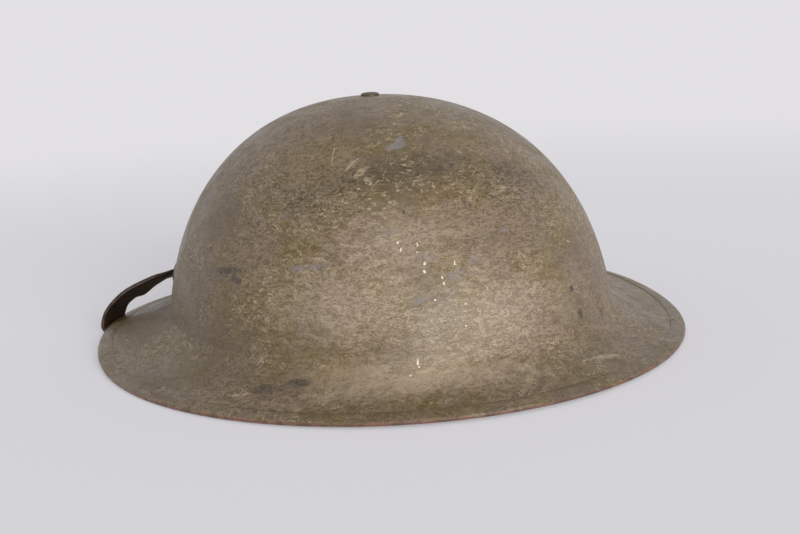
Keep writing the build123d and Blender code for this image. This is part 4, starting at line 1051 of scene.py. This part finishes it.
def stationRows(side, azimuth, reach, rise, lean, grip):
    # Points and directions of stations on the brim: the outer face's normal and the edge's line.
    azimuth, reach, rise, lean = (np.asarray(value, float) for value in (azimuth, reach, rise, lean))
    x, y = reach * np.cos(np.radians(azimuth)), reach * np.sin(np.radians(azimuth))
    point = np.stack([-side * x, y, edgeLevel + rise], -1)
    out = unit(np.stack([-side * x / sheet["brimHalfWidth"] ** 2, y / sheet["brimHalfLength"] ** 2,
                         0 * x], -1))
    normal = out * np.cos(np.radians(lean))[:, None] + np.sin(np.radians(lean))[:, None] * (0, 0, 1.0)
    line = np.stack([-side * out[:, 1], side * out[:, 0], 0 * x], -1)
    return point, normal, line, np.broadcast_to(np.asarray(grip, float), x.shape)


def brimRows(side, table):
    # Stations between the bowl's foot and the brim's edge, by their shares of both.
    azimuth, outShare, riseShare, lean, grip = np.array(table).T
    foot = ellipseReach(azimuth, sheet["bowlHalfWidth"], sheet["bowlHalfLength"])
    edgeAt = ellipseReach(azimuth, sheet["brimHalfWidth"], sheet["brimHalfLength"])
    rise = riseShare * sheet["footRise"] + edgeRise(azimuth) * outShare
    return stationRows(side, azimuth, foot + outShare * (edgeAt - foot), rise, lean, grip)


def planeRows(flat, origin, first, second, line, grip, turnWay):
    # Stations drawn in a plane: the normal is the path's direction turned by a quarter.
    flat = np.array(flat, float)
    ahead = unit(np.gradient(flat, axis=0))
    normal = turnWay * np.stack([-ahead[:, 1], ahead[:, 0]], -1)
    point = origin + flat[:, :1] * first + flat[:, 1:] * second
    faceOf = normal[:, :1] * first + normal[:, 1:] * second
    return point, faceOf, np.broadcast_to(line, point.shape), np.full(len(flat), grip)


seatNormal = np.array([0, cos(radians(strap["seatLean"])), sin(radians(strap["seatLean"]))])
slideCentre = np.array([0, sheet["bowlHalfLength"] + strap["slideOut"], edgeLevel + strap["slideRise"]])
alongX = np.array([1.0, 0, 0])
slideAcross = np.cross(seatNormal, alongX)
halfBar = strap["barWidth"] / 2
leftBar = strap["slideMiddle"] - strap["barWidth"] - strap["slotLength"]
rightBar = strap["slideMiddle"] + strap["barWidth"] + strap["slotLength"]
barPass = strap["slideThickness"] / 2 + strap["gap"] + strap["thickness"] / 2


def bailLoop():
    # From the sewn end back to the bail's bar, round it and out again, in the loop's own plane.
    radius = lugs["wire"] + strap["gap"] + strap["thickness"] / 2
    reach = lugs["wire"] + strap["sewn"]
    return np.concatenate([[(reach, -1.02), (reach - 2.5, -1.02), (reach - 5, -1.1), (3.6, -1.7)],
                           arc((0, 0), radius, -60, -300, 9),
                           [(3.6, 1.7), (reach - 5, 1.1), (reach - 2.6, 0.9)]])


def runEnd(side):
    # The last stretch at the slide, as along X and height above its middle plane.
    half = strap["thickness"] / 2
    if side < 0:
        # The left half turns back round the slide's outer bar and is sewn to itself.
        ring = arc((leftBar + 0.9, 0), 1.9, -90, 90, 5)
        return np.concatenate([
            [(-strap["leftRun"], -half), (-19.0, -half), (-15.5, -1.1), (leftBar - halfBar, -1.85)], ring,
            [(leftBar - halfBar, 1.85), (-15.5, 1.12), (-18.0, 1.02), (-strap["sewnEnd"], 1.02)]])
    # The right half goes over the near bar, under the middle one and out over the sewn end.
    ringTop = barPass + strap["thickness"] + strap["gap"]
    tailRise = strap["thickness"] + strap["gap"] + half
    middle = strap["slideMiddle"]
    return np.array([(strap["rightRun"], barPass), (rightBar + halfBar, barPass),
                     (rightBar - halfBar, barPass), (10.8, 1.2), (8.0, 0.0), (5.2, -1.2),
                     (middle + halfBar, -barPass), (middle - halfBar, -barPass), (-1.6, -0.8), (-4.0, 1.4),
                     (-6.2, 3.4), (leftBar + halfBar, ringTop), (leftBar - halfBar, ringTop), (-14.5, 3.8),
                     (-17.5, tailRise), (-21.0, tailRise), (-strap["tailEnd"], tailRise)])


def strapRibbon(side):
    # Every station in order, then close cuts between them: middle, cut direction, face and width.
    seat = lug(side)
    bar = np.cross(seat["face"], seat["pull"]) * -side
    parts = [planeRows(bailLoop(), seat["bar"], seat["pull"], seat["face"], bar, 1.0, 1),
             brimRows(side, strap["under"])]
    angles = np.array(strap["wrapAngles"])
    distance = bandNose + strap["gap"] + strap["thickness"] / 2
    edgeAt = ellipseReach(strap["wrapAzimuth"], sheet["brimHalfWidth"], sheet["brimHalfLength"])
    reach, rise = moved(edgeAt - bandNose, edgeRise(strap["wrapAzimuth"]), angles, distance)
    parts.append(stationRows(side, np.full(3, strap["wrapAzimuth"]), reach, rise, angles, 1.0))
    parts.append(brimRows(side, strap["over"]))
    azimuth = np.array(strap["seatAzimuths"])
    foot = ellipseReach(azimuth, sheet["bowlHalfWidth"], sheet["bowlHalfLength"])
    parts.append(stationRows(side, azimuth, foot + strap["seatOut"], np.full(3, strap["seatRise"]),
                             np.full(3, strap["seatLean"]), 0.0))
    parts.append(planeRows(runEnd(side), slideCentre, alongX, seatNormal, alongX, 0.0, -side))
    points, normals, lines, grips = (np.concatenate([part[i] for part in parts]) for i in range(4))
    # The arch, then close cuts. A cut runs along the edge's line or square to the path, by its
    # grip, is widened where it runs aslant, and is turned about the path by the roll.
    start = len(parts[0][0]) + len(strap["under"])
    arch = slice(start, start + len(strap["roll"]))
    points[arch] -= np.outer(strap["springIn"], side * np.cross(lines[arch][2], (0, 0, 1.0)))
    points[arch, 2] += strap["springUp"]
    at = np.arange((len(points) - 1) * strap["cuts"] + 1) / strap["cuts"]
    path = between(points, at)
    ahead = np.gradient(path, axis=0)
    normal = between(normals, at)
    square = unit(np.cross(normal, ahead)) * side
    line = unit(between(lines, at))
    line = line * np.where((line * square).sum(1) > 0, 1, -1)[:, None]
    grip = between(grips[:, None], at)
    cut = unit(line * grip + square * (1 - grip))
    face = unit(normal - cut * (normal * cut).sum(1)[:, None])
    width = 1 / (cut * unit(np.cross(face, ahead)) * side).sum(1)
    roll = np.zeros((len(points), 1))
    roll[arch, 0] = np.radians(strap["roll"])
    roll = between(roll, at)
    cut, face = cut * np.cos(roll) + face * np.sin(roll), face * np.cos(roll) - cut * np.sin(roll)
    return path, cut, face, np.clip(width, 1.0, strap["widest"])


# The strap's section has five points more on each broad face.
section = roundedSection(strap["width"], strap["thickness"], strap["corner"], 3)
flatTop = np.linspace(-0.36, 0.36, 5)[:, None] * (strap["width"], 0)
section = np.concatenate([section[:3], (flatTop + (0, strap["thickness"] / 2))[::-1], section[3:9],
                          flatTop - (0, strap["thickness"] / 2), section[9:]])
for side, name in ((-1, "left"), (1, "right")):
    seat = lug(side)
    path, cut, face, width = strapRibbon(side)
    points = carried(path, cut * width[:, None], face, section)
    length, across = alongUv(path, section)
    split = strap["bendStation"] * strap["cuts"]
    place(surface(f"{name}_leather_strap", points[split:], wrapRows=False, uv=(length[split:], across),
                  caps=True), strapLeather, nodes=[f"{name}_strap"])
    # The sewn end bends from the run that stays to the bail, so it has no parent.
    sewnEnd = surface(f"{name}_leather_strap_end", points[:split + 1], wrapRows=False,
                      uv=(length[:split + 1], across), caps=True)
    place(sewnEnd, strapLeather)
    sewnEnd.parent = None
    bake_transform(sewnEnd)
    # Two rows of stitches through the sewn loop, on the face that is seen from below.
    bar = np.cross(seat["face"], seat["pull"])
    seam = seat["bar"] + np.linspace(*strap["seamIn"], 12)[:, None] * seat["pull"]
    for row, way in (("front", -1), ("back", 1)):
        line = seam + bar * strap["seamRow"] * way - seat["face"] * strap["seamDepth"]
        stitches(f"{name}_loop_stitches_{row}", line, np.broadcast_to(-seat["face"], line.shape), "loop",
                 body=f"{name}_bail")
seam = np.linspace(-strap["sewnEnd"] + 0.8, strap["slideSeamEnd"], 12)[:, None] * alongX
for row, way in (("low", -1), ("high", 1)):
    line = slideCentre + seam + slideAcross * strap["seamRow"] * way - seatNormal * strap["seamDepth"]
    stitches(f"slide_loop_stitches_{row}", line, np.broadcast_to(-seatNormal, line.shape), "loop")

# The slide: a stamped plate with two slots, its edges rounded by tumbling.
# It is a flat grid of cells with the two slots left out, which modifiers thicken and round.
slotSide = strap["width"] / 2 + strap["slotSide"]
halfPlate = slotSide + strap["railWidth"]
slideX = [bar + way * halfBar for bar in (leftBar, strap["slideMiddle"], rightBar) for way in (-1, 1)]
slideY = [-halfPlate, -slotSide, slotSide, halfPlate]
underside = slideCentre - seatNormal * strap["slideThickness"] / 2
corners = np.array([underside + x * alongX + y * slideAcross for x in slideX for y in slideY])
cells = [i * 4 + j for i in range(5) for j in range(3) if not (j == 1 and i in (1, 3))]
plate = bpy.data.meshes.new("strap_slide_plate")
plate.from_pydata(corners * mm, [], [(cell, cell + 4, cell + 5, cell + 1) for cell in cells])
slidePlate = bpy.data.objects.new("strap_slide_plate", plate)
bpy.context.scene.collection.objects.link(slidePlate)
thick = slidePlate.modifiers.new("thickness", "SOLIDIFY")
thick.thickness = strap["slideThickness"] * mm
thick.offset = 1.0
softEdge = slidePlate.modifiers.new("tumbled edges", "BEVEL")
softEdge.width = strap["softEdge"] * mm
softEdge.segments = 3
softEdge.limit_method = "ANGLE"
place(slidePlate, wireSteel, nodes=["strap_slide"])
print("strap made")

# The CAD nodes that stay take a finish of their own.
cadFinish = ((rivetPaint, ("crown_rivet", "left_bracket_rivet", "right_bracket_rivet")),
             (dullSteel, ("crown_washer", "left_bracket_washer", "right_bracket_washer",
                          "left_bail_bracket", "right_bail_bracket")))
for material, names in cadFinish:
    for name in names:
        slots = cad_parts[name].data.materials
        slots.clear()
        slots.append(material)

# The studio: a pale floor that fades into the same pale background, and soft light.
studio = {"background": "e2e0e3", "ambient": "ede7df", "ambientStrength": 0.50, "keyStrength": 3.2,
          "keySide": 27.0, "keyHeight": 6.0, "keySoftness": 46.0, "keyTone": "fffaf4",
          "floorReach": 9.0, "floorTone": "dcdee6", "floorGlow": "e4e6f0", "glowStrength": 0.31,
          "fadeStart": 0.35, "fadeEnd": 1.1}   # reach and fade are in metres
world = bpy.data.worlds.new("studio")
bpy.context.scene.world = world
world.use_nodes = True
tree = world.node_tree
tree.nodes.clear()
seen = node(tree, "ShaderNodeLightPath")
direct = calc(tree, "MAXIMUM", seen.outputs["Is Camera Ray"],
              calc(tree, "MAXIMUM", seen.outputs["Is Glossy Ray"], seen.outputs["Is Transmission Ray"]))
ambient = node(tree, "ShaderNodeBackground", {"Color": linear(studio["ambient"]),
                                              "Strength": studio["ambientStrength"]})
backdrop = node(tree, "ShaderNodeBackground", {"Color": linear(studio["background"]), "Strength": 1.0})
both = node(tree, "ShaderNodeMixShader", {0: direct, 1: ambient.outputs[0], 2: backdrop.outputs[0]})
worldOut = node(tree, "ShaderNodeOutputWorld")
tree.links.new(both.outputs[0], worldOut.inputs[0])

floorMaterial, tree = blank("matt pale studio floor")
fromMiddle = node(tree, "ShaderNodeVectorMath", {0: objectCoords(tree)}, operation="LENGTH")
fade = ramp(tree, fromMiddle.outputs["Value"], studio["fadeStart"], studio["fadeEnd"])
matt = node(tree, "ShaderNodeBsdfPrincipled", {"Base Color": linear(studio["floorTone"]), "Roughness": 0.95,
                                              "Emission Color": linear(studio["floorGlow"]),
                                              "Emission Strength": studio["glowStrength"]})
glow = node(tree, "ShaderNodeEmission", {"Color": linear(studio["background"]), "Strength": 1.0})
seen = node(tree, "ShaderNodeLightPath")
shown = calc(tree, "MULTIPLY", fade, seen.outputs["Is Camera Ray"])
mixedFloor = node(tree, "ShaderNodeMixShader", {0: shown, 1: matt.outputs[0], 2: glow.outputs[0]})
floorOut = node(tree, "ShaderNodeOutputMaterial")
tree.links.new(mixedFloor.outputs[0], floorOut.inputs[0])
ringReach = np.linspace(0, studio["floorReach"] / mm, 12)
ringTurn = np.linspace(0, 2 * pi, 64, endpoint=False)
floorPoints = np.stack([ringReach * np.cos(ringTurn)[:, None], ringReach * np.sin(ringTurn)[:, None],
                        np.zeros((64, 12))], -1)
floor = surface("studio_floor", floorPoints, wrapColumns=False)
if floor.data.polygons[0].normal.z < 0:
    floor.data.flip_normals()
floor.data.materials.append(floorMaterial)


def sun(name, side, height, softness, strength, tone):
    # A distant soft lamp: side is degrees to the camera's right, height degrees above the floor.
    light = bpy.data.lights.new(name, "SUN")
    light.angle, light.energy, light.color = radians(softness), strength, linear(tone)[:3]
    lamp = bpy.data.objects.new(name, light)
    bpy.context.scene.collection.objects.link(lamp)
    a, e = radians(side - camera["turn"]), radians(height)
    towards = Vector((sin(a) * cos(e), -cos(a) * cos(e), sin(e)))
    lamp.rotation_euler = towards.to_track_quat("Z", "Y").to_euler()


sun("window key", studio["keySide"], studio["keyHeight"], studio["keySoftness"], studio["keyStrength"],
    studio["keyTone"])
bpy.context.scene.view_settings.view_transform = "Standard"
print("studio made")
